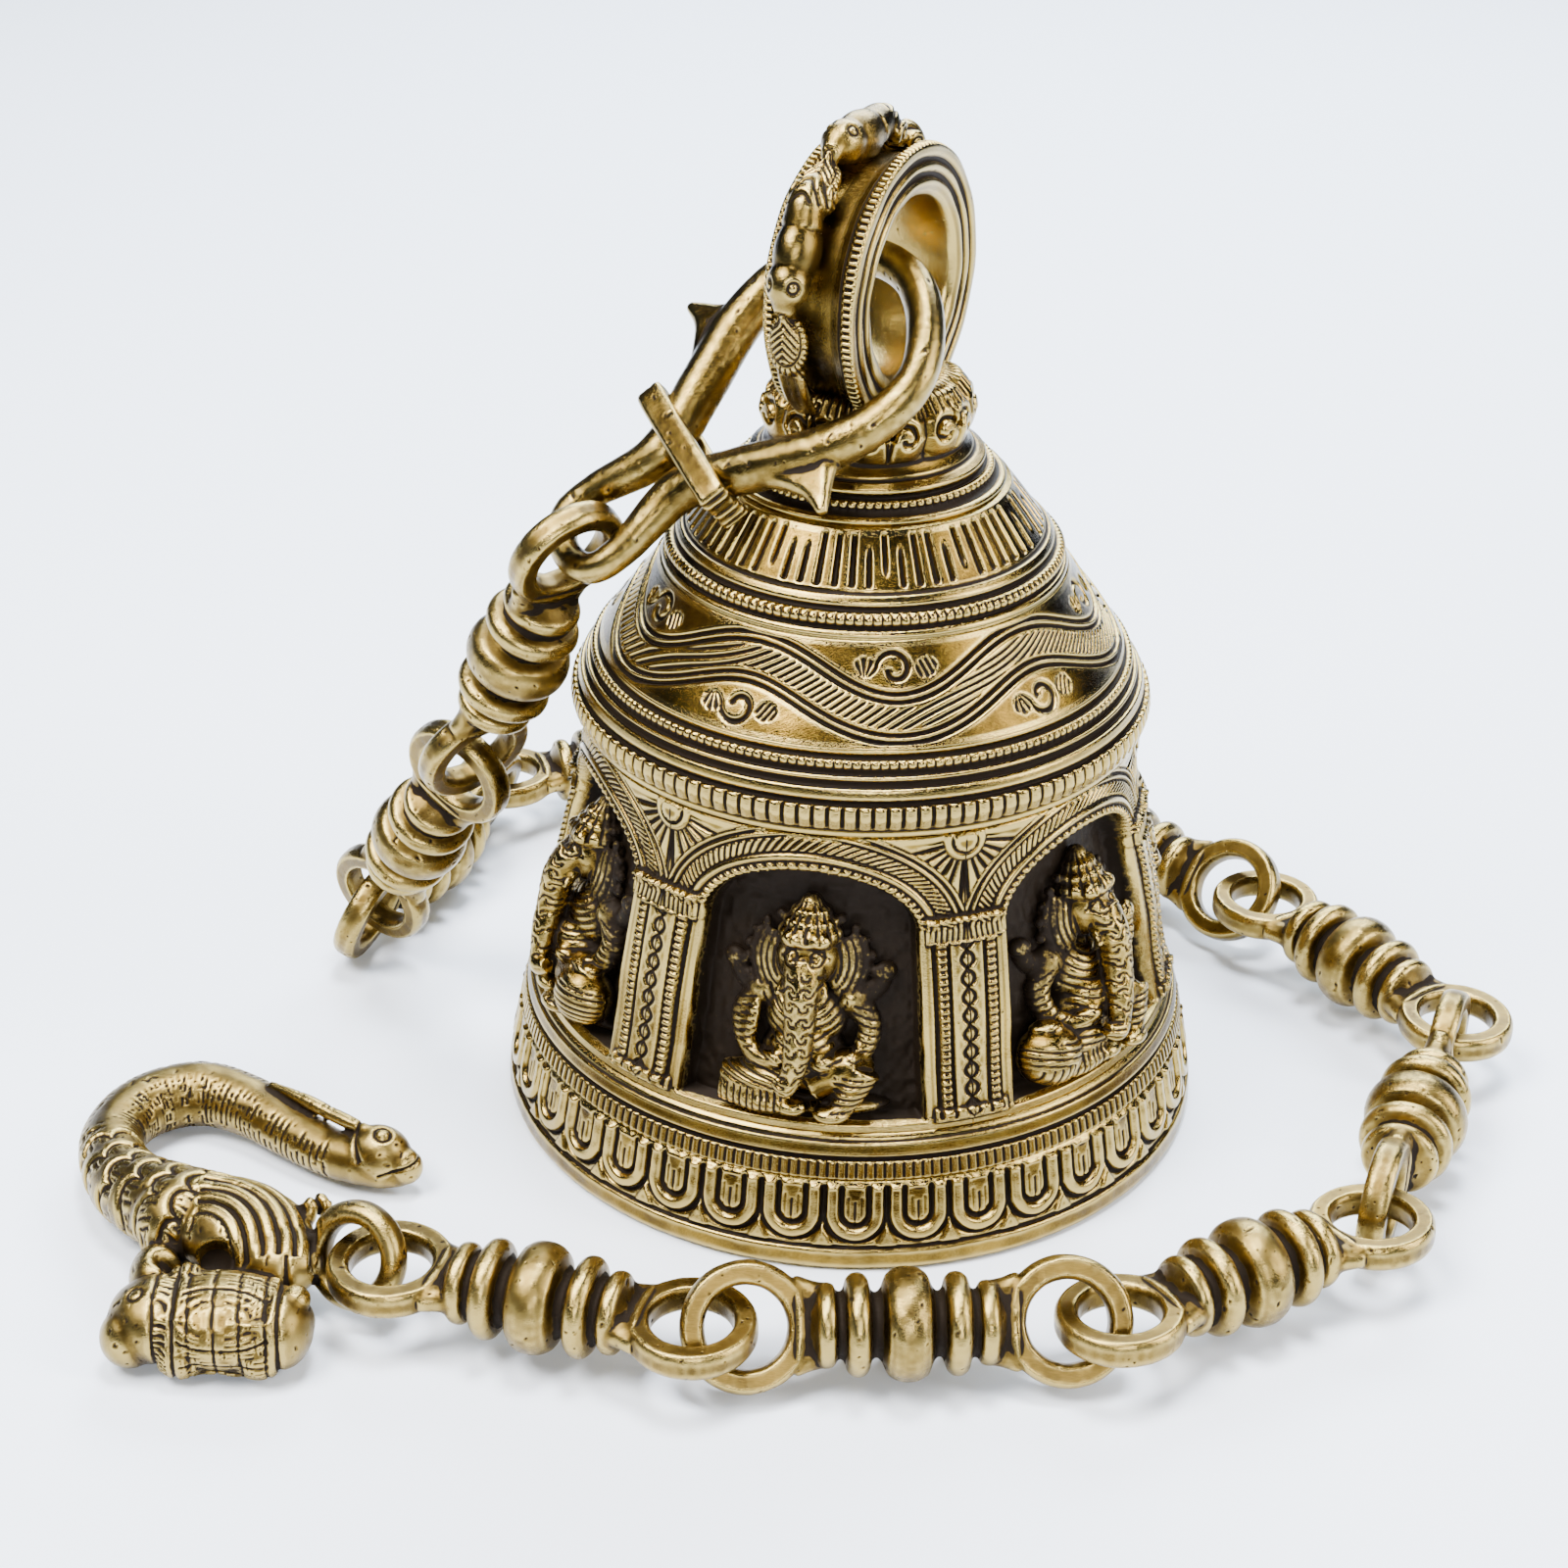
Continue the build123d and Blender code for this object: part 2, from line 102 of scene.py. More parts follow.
def lattice_noise(points, size, seed):
    """Smooth random values from -1 to 1, varying over a given size in millimetres."""
    table = np.random.default_rng(seed).uniform(-1.0, 1.0, (LATTICE, LATTICE, LATTICE))
    p = points / size
    cell = np.floor(p).astype(int)
    f = p - cell
    f = f * f * (3 - 2 * f)
    total = np.zeros(len(points))
    for dx in (0, 1):
        for dy in (0, 1):
            for dz in (0, 1):
                corner = table[tuple(((cell + (dx, dy, dz)) % LATTICE).T)]
                wx = f[:, 0] if dx else 1 - f[:, 0]
                wy = f[:, 1] if dy else 1 - f[:, 1]
                wz = f[:, 2] if dz else 1 - f[:, 2]
                total += corner * wx * wy * wz
    return total


# ------------------------------------------------------------------ mesh tools
def mesh_from_arrays(name, points, quads, extra_faces=()):
    """Mesh from an (n, 3) array in millimetres, an (m, 4) array of corners and a few other faces."""
    mesh = bpy.data.meshes.new(name)
    corners = quads.ravel()
    starts = np.arange(len(quads)) * 4
    for face in extra_faces:
        starts = np.append(starts, len(corners))
        corners = np.append(corners, face)
    mesh.vertices.add(len(points))
    mesh.loops.add(len(corners))
    mesh.polygons.add(len(starts))
    mesh.vertices.foreach_set("co", (points * MM).astype(np.float32).ravel())
    mesh.loops.foreach_set("vertex_index", corners.astype(np.int32))
    mesh.polygons.foreach_set("loop_start", starts.astype(np.int32))
    mesh.update(calc_edges=True)
    mesh.validate()
    return mesh


def vertex_array(mesh):
    flat = np.empty(len(mesh.vertices) * 3, np.float32)
    mesh.vertices.foreach_get("co", flat)
    return flat.reshape(-1, 3).astype(float) / MM


def normal_array(mesh):
    flat = np.empty(len(mesh.vertices) * 3, np.float32)
    mesh.vertex_normals.foreach_get("vector", flat)
    return flat.reshape(-1, 3).astype(float)


def edge_array(mesh):
    flat = np.empty(len(mesh.edges) * 2, np.int32)
    mesh.edges.foreach_get("vertices", flat)
    return flat.reshape(-1, 2)


def relaxed(points, edges, rounds):
    """Points moved to the mean of their neighbours, again and again."""
    count = len(points)
    a, b = edges[:, 0], edges[:, 1]
    weight = np.maximum(np.bincount(a, minlength=count) + np.bincount(b, minlength=count), 1)
    for _ in range(rounds):
        moved = np.empty_like(points)
        for axis in range(3):
            column = points[:, axis]
            total = np.bincount(a, column[b], count) + np.bincount(b, column[a], count)
            moved[:, axis] = total / weight
        points = points + 0.5 * (moved - points)
    return points


def store_layer(mesh, name, values):
    layer = mesh.attributes.new(name, "FLOAT", "POINT")
    layer.data.foreach_set("value", values.astype(np.float32))


def store_cavity(mesh, fine_rounds, broad_rounds):
    """Per-vertex depth below the neighbouring surface: positive in grooves, negative on edges."""
    points, normals, edges = vertex_array(mesh), normal_array(mesh), edge_array(mesh)
    fine = relaxed(points, edges, fine_rounds)
    broad = relaxed(fine, edges, broad_rounds - fine_rounds)
    for name, target in (("cavity", fine), ("hollow", broad)):
        store_layer(mesh, name, np.einsum("ij,ij->i", target - points, normals))


def rest_on_floor(mesh):
    """Flatten the little that would reach below the floor, as wear does where metal lies."""
    points = vertex_array(mesh)
    points[:, 2] = np.maximum(points[:, 2], WORN_FLAT_AT)
    set_points(mesh, points)


def set_points(mesh, points):
    mesh.vertices.foreach_set("co", (points * MM).astype(np.float32).ravel())
    mesh.update()


def press(mesh, points, normals, amount):
    """Move each point along its normal by an amount in millimetres."""
    set_points(mesh, points + normals * amount[:, None])


def add_piece(name, mesh, material, body, slot, node, rounds=(14, 70)):
    """Object for a finished mesh: its grooves stored, smooth shaded, riding on its body."""
    store_cavity(mesh, *rounds)
    mesh.materials.clear()
    mesh.materials.append(material)
    mesh.polygons.foreach_set("use_smooth", np.ones(len(mesh.polygons), bool))
    piece = bpy.data.objects.new(name, mesh)
    bpy.context.scene.collection.objects.link(piece)
    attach(piece, body)
    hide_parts(node)


def outline_rows(outline, spacing):
    """Even steps along an outline of (radius, height) points, with the outward normal at each."""
    outline = np.array(outline, float)
    steps = np.hypot(*np.diff(outline, axis=0).T)
    along = np.concatenate([[0], np.cumsum(steps)])
    count = max(int(round(along[-1] / spacing)), 2)
    at = np.linspace(0, along[-1], count + 1)
    radius = np.interp(at, along, outline[:, 0])
    height = np.interp(at, along, outline[:, 1])
    window = np.array([0.25, 0.5, 0.25])
    for _ in range(2):
        radius[1:-1] = np.convolve(radius, window, "same")[1:-1]
        height[1:-1] = np.convolve(height, window, "same")[1:-1]
    slope_r, slope_z = np.gradient(radius), np.gradient(height)
    length = np.hypot(slope_r, slope_z)
    return radius, height, slope_z / length, -slope_r / length, at


def turned_relief(name, outline, inside, columns, spacing, relief, sweep=(0.0, 360.0)):
    """Closed ring (or sector of one) turned from an outline, its outer face raised by relief().

    relief(azimuth, height, along) gives millimetres along the surface normal; inside is the inner
    face's (radius, height) points from the bottom up.
    """
    radius, height, normal_r, normal_z, along = outline_rows(outline, spacing)
    whole = abs(sweep[1] - sweep[0] - 360.0) < 1e-6
    azimuth = np.linspace(sweep[0], sweep[1], columns + 1)
    azimuth = azimuth[:-1] if whole else azimuth
    grid_a, grid_z = np.meshgrid(azimuth, height)
    grid_s = np.repeat(along[:, None], len(azimuth), 1)
    raised = relief(grid_a, grid_z, grid_s)
    rings_r = radius[:, None] + normal_r[:, None] * raised
    rings_z = height[:, None] + normal_z[:, None] * raised
    back = np.array(inside[::-1], float)
    rings_r = np.vstack([rings_r, np.repeat(back[:, :1], len(azimuth), 1)])
    rings_z = np.vstack([rings_z, np.repeat(back[:, 1:], len(azimuth), 1)])
    angle = np.radians(azimuth)
    points = np.stack([rings_r * np.cos(angle), rings_r * np.sin(angle), rings_z], 2)
    rows, count = rings_r.shape
    index = np.arange(rows * count).reshape(rows, count)
    below, above = index, np.roll(index, -1, 0)
    if whole:
        quads = np.stack([below, np.roll(below, -1, 1), np.roll(above, -1, 1), above], 2)
        caps = ()
    else:
        quads = np.stack([below[:, :-1], below[:, 1:], above[:, 1:], above[:, :-1]], 2)
        caps = (index[::-1, -1][::-1], index[::-1, 0])
    return mesh_from_arrays(name, points.reshape(-1, 3), quads.reshape(-1, 4), caps)


# ------------------------------------------------------------------ sculpting from joined lumps
def box_place(centre, size, turn):
    """Matrix that sizes a unit shape, turns it by (x, y, z) degrees and sets it at centre."""
    spin = Matrix.Rotation(radians(turn[2]), 4, "Z") @ Matrix.Rotation(radians(turn[1]), 4, "Y")
    spin = spin @ Matrix.Rotation(radians(turn[0]), 4, "X")
    return Matrix.Translation(centre) @ spin @ Matrix.Diagonal((*size, 1.0))


class Lump:
    """Collects overlapping closed shapes, then fuses them into one cast-looking skin."""

    def __init__(self):
        self.work = bmesh.new()

    def egg(self, centre, radii, turn=(0, 0, 0)):
        place = box_place(centre, radii, turn)
        bmesh.ops.create_icosphere(self.work, subdivisions=4, radius=1.0, matrix=place)

    def tube(self, points, radii, flat=1.0, closed=False, sides=20, steps=8):
        """Smooth tapered tube through points; flat squeezes it across the z direction."""
        path, sizes = smooth_path(points, radii, steps, closed)
        rings = []
        count = len(path)
        up = Vector((0, 0, 1))
        for i, at in enumerate(path):
            ahead = path[(i + 1) % count] if closed or i < count - 1 else path[i]
            behind = path[i - 1] if closed or i else path[i]
            way = (ahead - behind).normalized()
            side = way.cross(up)
            if side.length < 0.05:
                side = way.cross(Vector((0, 1, 0)))
            side.normalize()
            top = side.cross(way)
            ring = []
            for k in range(sides):
                a = 2 * pi * k / sides
                ring.append(self.work.verts.new(at + sizes[i] * (side * cos(a) + top * sin(a) * flat)))
            rings.append(ring)
        self.skinned(rings, closed)

    def block(self, centre, size, turn=(0, 0, 0)):
        bmesh.ops.create_cube(self.work, size=1.0, matrix=box_place(centre, size, turn))

    def turned(self, outline, centre=(0, 0, 0), axis="X", sides=72):
        """Solid of revolution from (along, radius) points about an axis through centre."""
        rings = []
        for along, radius in outline:
            ring = []
            for k in range(sides):
                a = 2 * pi * k / sides
                if axis == "X":
                    p = Vector((along, radius * cos(a), radius * sin(a)))
                else:
                    p = Vector((radius * cos(a), radius * sin(a), along))
                ring.append(self.work.verts.new(p + Vector(centre)))
            rings.append(ring)
        self.skinned(rings, closed=False)

    def skinned(self, rings, closed):
        """Four-sided faces between neighbouring rings, with a cap at each end of an open row."""
        following = rings[1:] + rings[:1] if closed else rings[1:]
        for one, two in zip(rings, following):
            for k, corner in enumerate(one):
                j = (k + 1) % len(one)
                self.work.faces.new((corner, one[j], two[j], two[k]))
        if not closed:
            self.work.faces.new(rings[0][::-1])
            self.work.faces.new(rings[-1])

    def fused(self, name, voxel, rounds):
        """One closed skin over every lump, at a voxel size in millimetres."""
        bmesh.ops.recalc_face_normals(self.work, faces=self.work.faces[:])
        mesh = bpy.data.meshes.new(name + "_lumps")
        self.work.to_mesh(mesh)
        self.work.free()
        holder = bpy.data.objects.new(name + "_lumps", mesh)
        bpy.context.scene.collection.objects.link(holder)
        skin = holder.modifiers.new("skin", "REMESH")
        skin.mode = "VOXEL"
        skin.voxel_size = voxel
        graph = bpy.context.evaluated_depsgraph_get()
        result = bpy.data.meshes.new_from_object(holder.evaluated_get(graph))
        bpy.data.objects.remove(holder)
        bpy.data.meshes.remove(mesh)
        result.name = name
        flat = np.empty(len(result.vertices) * 3, np.float32)
        result.vertices.foreach_get("co", flat)
        points = relaxed(flat.reshape(-1, 3).astype(float), edge_array(result), rounds)
        set_points(result, points)
        return result


def smooth_path(points, radii, steps, closed=False):
    """Catmull-Rom points and radii between given stations."""
    stations = [Vector(p) for p in points]
    count = len(stations)
    path, sizes = [], []
    spans = count if closed else count - 1
    for i in range(spans):
        if closed:
            p0, p1, p2, p3 = (stations[(i + k) % count] for k in (-1, 0, 1, 2))
        else:
            p0 = stations[max(i - 1, 0)]
            p1, p2 = stations[i], stations[i + 1]
            p3 = stations[min(i + 2, count - 1)]
        for k in range(steps):
            t = k / steps
            blend = 0.5 * (
                2 * p1 + (p2 - p0) * t + (2 * p0 - 5 * p1 + 4 * p2 - p3) * t ** 2
                + (3 * p1 - p0 - 3 * p2 + p3) * t ** 3
            )
            path.append(blend)
            sizes.append(radii[i] + (radii[(i + 1) % count] - radii[i]) * t)
    if not closed:
        path.append(stations[-1])
        sizes.append(radii[-1])
    return path, sizes


def placed(mesh, matrix):
    """Mesh points in millimetres moved by a 4x4 matrix that also works in millimetres."""
    turn = np.array(matrix.to_3x3())
    points = vertex_array(mesh) @ turn.T + np.array(matrix.translation)
    set_points(mesh, points)
    if matrix.determinant() < 0:
        mesh.flip_normals()
    return mesh


# ------------------------------------------------------------------ materials
class Graph:
    """Short names for building a procedural material."""

    def __init__(self, name):
        self.material = bpy.data.materials.new(name)
        self.material.use_nodes = True
        self.tree = self.material.node_tree
        self.shader = self.tree.nodes["Principled BSDF"]
        self.place = self.tree.nodes.new("ShaderNodeTexCoord").outputs["Object"]

    def feed(self, socket, value):
        if isinstance(value, bpy.types.NodeSocket):
            self.tree.links.new(value, socket)
        else:
            socket.default_value = value

    def attribute(self, name):
        node = self.tree.nodes.new("ShaderNodeAttribute")
        node.attribute_name = name
        return node.outputs["Fac"]

    def noise(self, scale, detail=3.0, rough=0.55, stretch=None):
        node = self.tree.nodes.new("ShaderNodeTexNoise")
        node.inputs["Scale"].default_value = scale
        node.inputs["Detail"].default_value = detail
        node.inputs["Roughness"].default_value = rough
        where = self.place
        if stretch:
            mapping = self.tree.nodes.new("ShaderNodeMapping")
            mapping.inputs["Scale"].default_value = stretch
            mapping.inputs["Rotation"].default_value = (0.35, 0.2, 0.6)
            self.tree.links.new(self.place, mapping.inputs["Vector"])
            where = mapping.outputs["Vector"]
        self.tree.links.new(where, node.inputs["Vector"])
        return node.outputs["Fac"]

    def cells(self, scale):
        node = self.tree.nodes.new("ShaderNodeTexVoronoi")
        node.inputs["Scale"].default_value = scale
        self.tree.links.new(self.place, node.inputs["Vector"])
        return node.outputs["Distance"]

    def math(self, operation, a, b=0.0, clamp=False):
        node = self.tree.nodes.new("ShaderNodeMath")
        node.operation = operation
        node.use_clamp = clamp
        self.feed(node.inputs[0], a)
        self.feed(node.inputs[1], b)
        return node.outputs[0]

    def plus(self, a, b, share):
        """a + share * b"""
        return self.math("ADD", a, self.math("MULTIPLY", b, share))

    def span(self, value, low, high, to_low=0.0, to_high=1.0):
        node = self.tree.nodes.new("ShaderNodeMapRange")
        node.interpolation_type = "SMOOTHSTEP"
        self.feed(node.inputs["Value"], value)
        node.inputs["From Min"].default_value = low
        node.inputs["From Max"].default_value = high
        node.inputs["To Min"].default_value = to_low
        node.inputs["To Max"].default_value = to_high
        return node.outputs["Result"]

    def mix(self, factor, a, b):
        node = self.tree.nodes.new("ShaderNodeMix")
        node.data_type = "RGBA"
        self.feed(node.inputs[0], factor)
        for socket, value in ((node.inputs[6], a), (node.inputs[7], b)):
            if isinstance(value, tuple):
                socket.default_value = (*value, 1.0)
            else:
                self.feed(socket, value)
        return node.outputs[2]

    def bump(self, height, distance, below=None):
        node = self.tree.nodes.new("ShaderNodeBump")
        node.inputs["Distance"].default_value = distance
        self.feed(node.inputs["Height"], height)
        if below:
            self.feed(node.inputs["Normal"], below)
        return node.outputs["Normal"]


RUBBED_BRASS = (0.46, 0.335, 0.100)
# near-black for the grime in grooves and for the painted shade in the niches and behind the figures
GRIME_AND_SHADE_BROWN = (0.010, 0.006, 0.003)
PIT_BROWN = (0.016, 0.009, 0.005)


def aged_brass(name, bright, dull, grime_and_shade_strength, polish, pitting):
    """Cast brass: bright where hands and cloth reach, brown and matt in the recesses; painted shade
    darkens the niche backs and the figures' backs.
    """
    g = Graph(name)
    fine, broad, painted_shade = g.attribute("cavity"), g.attribute("hollow"), g.attribute("painted_shade")
    stain = g.noise(90.0, 4.0, 0.6)
    speck = g.noise(900.0, 3.0, 0.6)
    grain = g.noise(5200.0, 2.0, 0.5)
    scratches = g.noise(700.0, 4.0, 0.65, stretch=(1.0, 14.0, 3.0))
    deep = g.span(fine, 0.004, 0.070)
    low = g.span(broad, 0.04, 0.42)
    grime_and_shade = g.plus(deep, low, 0.8)
    # painted shade: niche backs and the figures' backs are darkened as if in shadow, on top of the grime
    # in the grooves
    grime_and_shade = g.math("ADD", grime_and_shade, g.math("MULTIPLY", painted_shade, g.span(speck, 0.2, 0.6, 0.7, 1.3)))
    grime_and_shade = g.plus(grime_and_shade, g.math("SUBTRACT", speck, 0.5), 0.6)
    grime_and_shade = g.math("MULTIPLY", g.span(grime_and_shade, 0.10, 0.68), grime_and_shade_strength, clamp=True)
    wear = g.span(g.math("MULTIPLY", fine, -1.0), 0.004, 0.08)
    tone = g.math("ADD", g.math("MULTIPLY", stain, 0.9), g.math("MULTIPLY", scratches, 0.35))
    body = g.mix(g.span(tone, 0.42, 0.92), dull, bright)
    body = g.mix(g.math("MULTIPLY", wear, 0.7), body, RUBBED_BRASS)
    pits = g.math("MULTIPLY", g.span(g.cells(520.0), 0.16, 0.05), g.span(stain, 0.46, 0.60))
    pits = g.math("MULTIPLY", pits, pitting)
    # grime and painted shade laid over the brass
    color = g.mix(grime_and_shade, body, GRIME_AND_SHADE_BROWN)
    color = g.mix(pits, color, PIT_BROWN)
    g.shader.inputs["Specular IOR Level"].default_value = 0.12
    g.feed(g.shader.inputs["Base Color"], color)
    g.feed(g.shader.inputs["Metallic"], g.span(grime_and_shade, 0.25, 1.0, 1.0, 0.30))
    rough = g.math("ADD", g.math("MULTIPLY", g.math("SUBTRACT", stain, 0.5), 0.22), polish)
    rough = g.plus(rough, grime_and_shade, 0.40)
    rough = g.plus(rough, scratches, 0.10)
    rough = g.math("SUBTRACT", rough, g.math("MULTIPLY", wear, 0.06), clamp=True)
    g.feed(g.shader.inputs["Roughness"], rough)
    relief = g.math("ADD", g.math("MULTIPLY", speck, 0.5), g.math("MULTIPLY", scratches, 0.6))
    relief = g.math("SUBTRACT", relief, g.math("MULTIPLY", pits, 1.6))
    surface = g.bump(relief, 0.00007)
    g.feed(g.shader.inputs["Normal"], g.bump(grain, 0.000012, surface))
    return g.material


def floor_material():
    g = Graph("pale_floor")
    shade = g.mix(g.noise(3.0, 2.0), (0.80, 0.865, 0.985), (0.84, 0.895, 0.99))
    g.feed(g.shader.inputs["Base Color"], shade)
    g.shader.inputs["Roughness"].default_value = 0.75
    return g.material


BELL_BRASS = aged_brass("bell_brass", (0.250, 0.156, 0.026), (0.060, 0.036, 0.007), 1.0, 0.14, 0.35)
RING_BRASS = aged_brass("ring_brass", (0.230, 0.147, 0.029), (0.062, 0.039, 0.009), 1.0, 0.20, 0.7)
CHAIN_BRASS = aged_brass("chain_brass", (0.205, 0.132, 0.029), (0.066, 0.042, 0.011), 1.0, 0.26, 1.0)
HOOK_BRASS = aged_brass("hook_brass", (0.195, 0.126, 0.027), (0.060, 0.038, 0.010), 1.0, 0.27, 0.8)
INNER_BRASS = aged_brass("inner_brass", (0.110, 0.070, 0.026), (0.060, 0.037, 0.015), 0.9, 0.42, 1.0)


# ------------------------------------------------------------------ camera, floor and light
CAMERA_TILT = 28.46
CAMERA_ROLL = 0.94
CAMERA_PLACE = (-13.04, -434.88, 294.32)
CAMERA_LENS = 63.64
FLOOR_HALF = 3.0
FLOOR_GAP = 0.0002
AIM = Vector((0, 0, 0.06))
# name, place in metres, width and height, power in watts, colour
LAMPS = (
    ("key_softbox", (-0.50, -0.30, 1.00), (0.50, 0.50), 32.0, (1.0, 0.98, 0.95)),
    ("right_strip", (0.90, -0.30, 0.55), (0.22, 0.80), 15.0, (1.0, 0.98, 0.96)),
    ("back_softbox", (0.20, 1.00, 0.80), (1.00, 0.45), 40.0, (0.80, 0.90, 1.0)),
    ("front_fill", (0.10, -1.15, 0.60), (0.50, 0.22), 10.0, (0.97, 0.98, 1.0)),
    ("overhead", (0.05, 0.10, 1.35), (0.35, 0.35), 32.0, (0.95, 0.97, 1.0)),
)


def camera_and_stage():
    tilt, roll = radians(CAMERA_TILT), radians(CAMERA_ROLL)
    forward = Vector((0, cos(tilt), -sin(tilt)))
    right, upward = Vector((1, 0, 0)), Vector((0, sin(tilt), cos(tilt)))
    camera = bpy.data.cameras.new("camera")
    camera.lens = CAMERA_LENS
    camera.sensor_width = 36.0
    camera.clip_start = 0.01
    viewer = bpy.data.objects.new("camera", camera)
    x_axis = right * cos(roll) + upward * sin(roll)
    y_axis = upward * cos(roll) - right * sin(roll)
    turn = Matrix((x_axis, y_axis, -forward)).transposed().to_4x4()
    viewer.matrix_world = Matrix.Translation(Vector(CAMERA_PLACE) * MM) @ turn
    bpy.context.scene.collection.objects.link(viewer)
    bpy.context.scene.camera = viewer

    sheet = bpy.data.meshes.new("floor")
    corners = [(x * FLOOR_HALF, y * FLOOR_HALF, 0) for x, y in ((-1, -1), (1, -1), (1, 1), (-1, 1))]
    sheet.from_pydata(corners, [], [(0, 1, 2, 3)])
    sheet.materials.append(floor_material())
    ground = bpy.data.objects.new("floor", sheet)
    ground.location.z = -FLOOR_GAP
    bpy.context.scene.collection.objects.link(ground)

    for name, place, size, power, color in LAMPS:
        lamp = bpy.data.lights.new(name, "AREA")
        lamp.shape = "RECTANGLE"
        lamp.size, lamp.size_y = size
        lamp.energy = power
        lamp.color = color
        holder = bpy.data.objects.new(name, lamp)
        holder.location = place
        holder.rotation_euler = (AIM - Vector(place)).to_track_quat("-Z", "Y").to_euler()
        bpy.context.scene.collection.objects.link(holder)

    world = bpy.data.worlds.new("studio")
    world.use_nodes = True
    background = world.node_tree.nodes["Background"]
    background.inputs["Color"].default_value = (0.50, 0.64, 1.0, 1.0)
    background.inputs["Strength"].default_value = 0.09
    bpy.context.scene.world = world


# ------------------------------------------------------------------ the bell's casting
def foot_relief(azimuth, height, along):
    """Plain rim, then a row of hanging petals: a rounded border round a hatched tongue."""
    sector = 360 / 36
    pitch = 10.75
    x = repeat(azimuth, sector) / sector * pitch
    petal_centre = 10.4
    below = np.minimum(height - petal_centre, 0.0)
    spread = np.hypot(x, below)
    border = 0.75 * np.exp(-(((spread - 3.75) / 1.25) ** 4))
    cuts = cut_lines(spread, ((2.35, 0.95, 0.95), (5.25, 0.75, 1.0)))
    tongue = 0.22 * (spread < 2.1) + groove(x, 0.45, 0.30) * (height > 7.6) * (height < 12.5)
    tongue = tongue + groove(np.abs(x) - 1.2, 0.40, 0.25) * (height > 9.2) * (height < 13.4)
    corner = np.abs(np.abs(x) - pitch / 2)
    leaf = 0.45 * smooth_step(8.2 - height - corner * 1.9, 0.0, 0.8) * (spread > 5.35)
    petal_band = border + cuts + tongue + leaf
    inside_band = between(height, 4.35, 4.75, 15.1, 15.6)
    scallop = 0.35 * smooth_step(np.abs(repeat(azimuth, 2.5)) * 1.1, 0.2, 1.0)
    lip = ridge(height - 15.3, 0.55, 0.30) * (0.6 + scallop)
    wear = 0.05 * np.sin(azimuth * 0.43 + 2 * height) + 0.04 * np.sin(azimuth * 1.7)
    return petal_band * inside_band + groove(height - 4.3, 0.5, 0.55) + lip + wear * 0.5


def milled_relief(azimuth, height, along):
    """Band of upright cuts between two plain fillets."""
    cut = groove(repeat(azimuth, 360 / 236) * 1.045, 0.42, 0.55)
    window = between(height, 16.5, 16.9, 19.5, 19.9)
    return cut * window + cut_lines(height, ((16.35, 0.45, 0.6), (20.2, 0.55, 0.7), (23.2, 0.4, 0.35)))


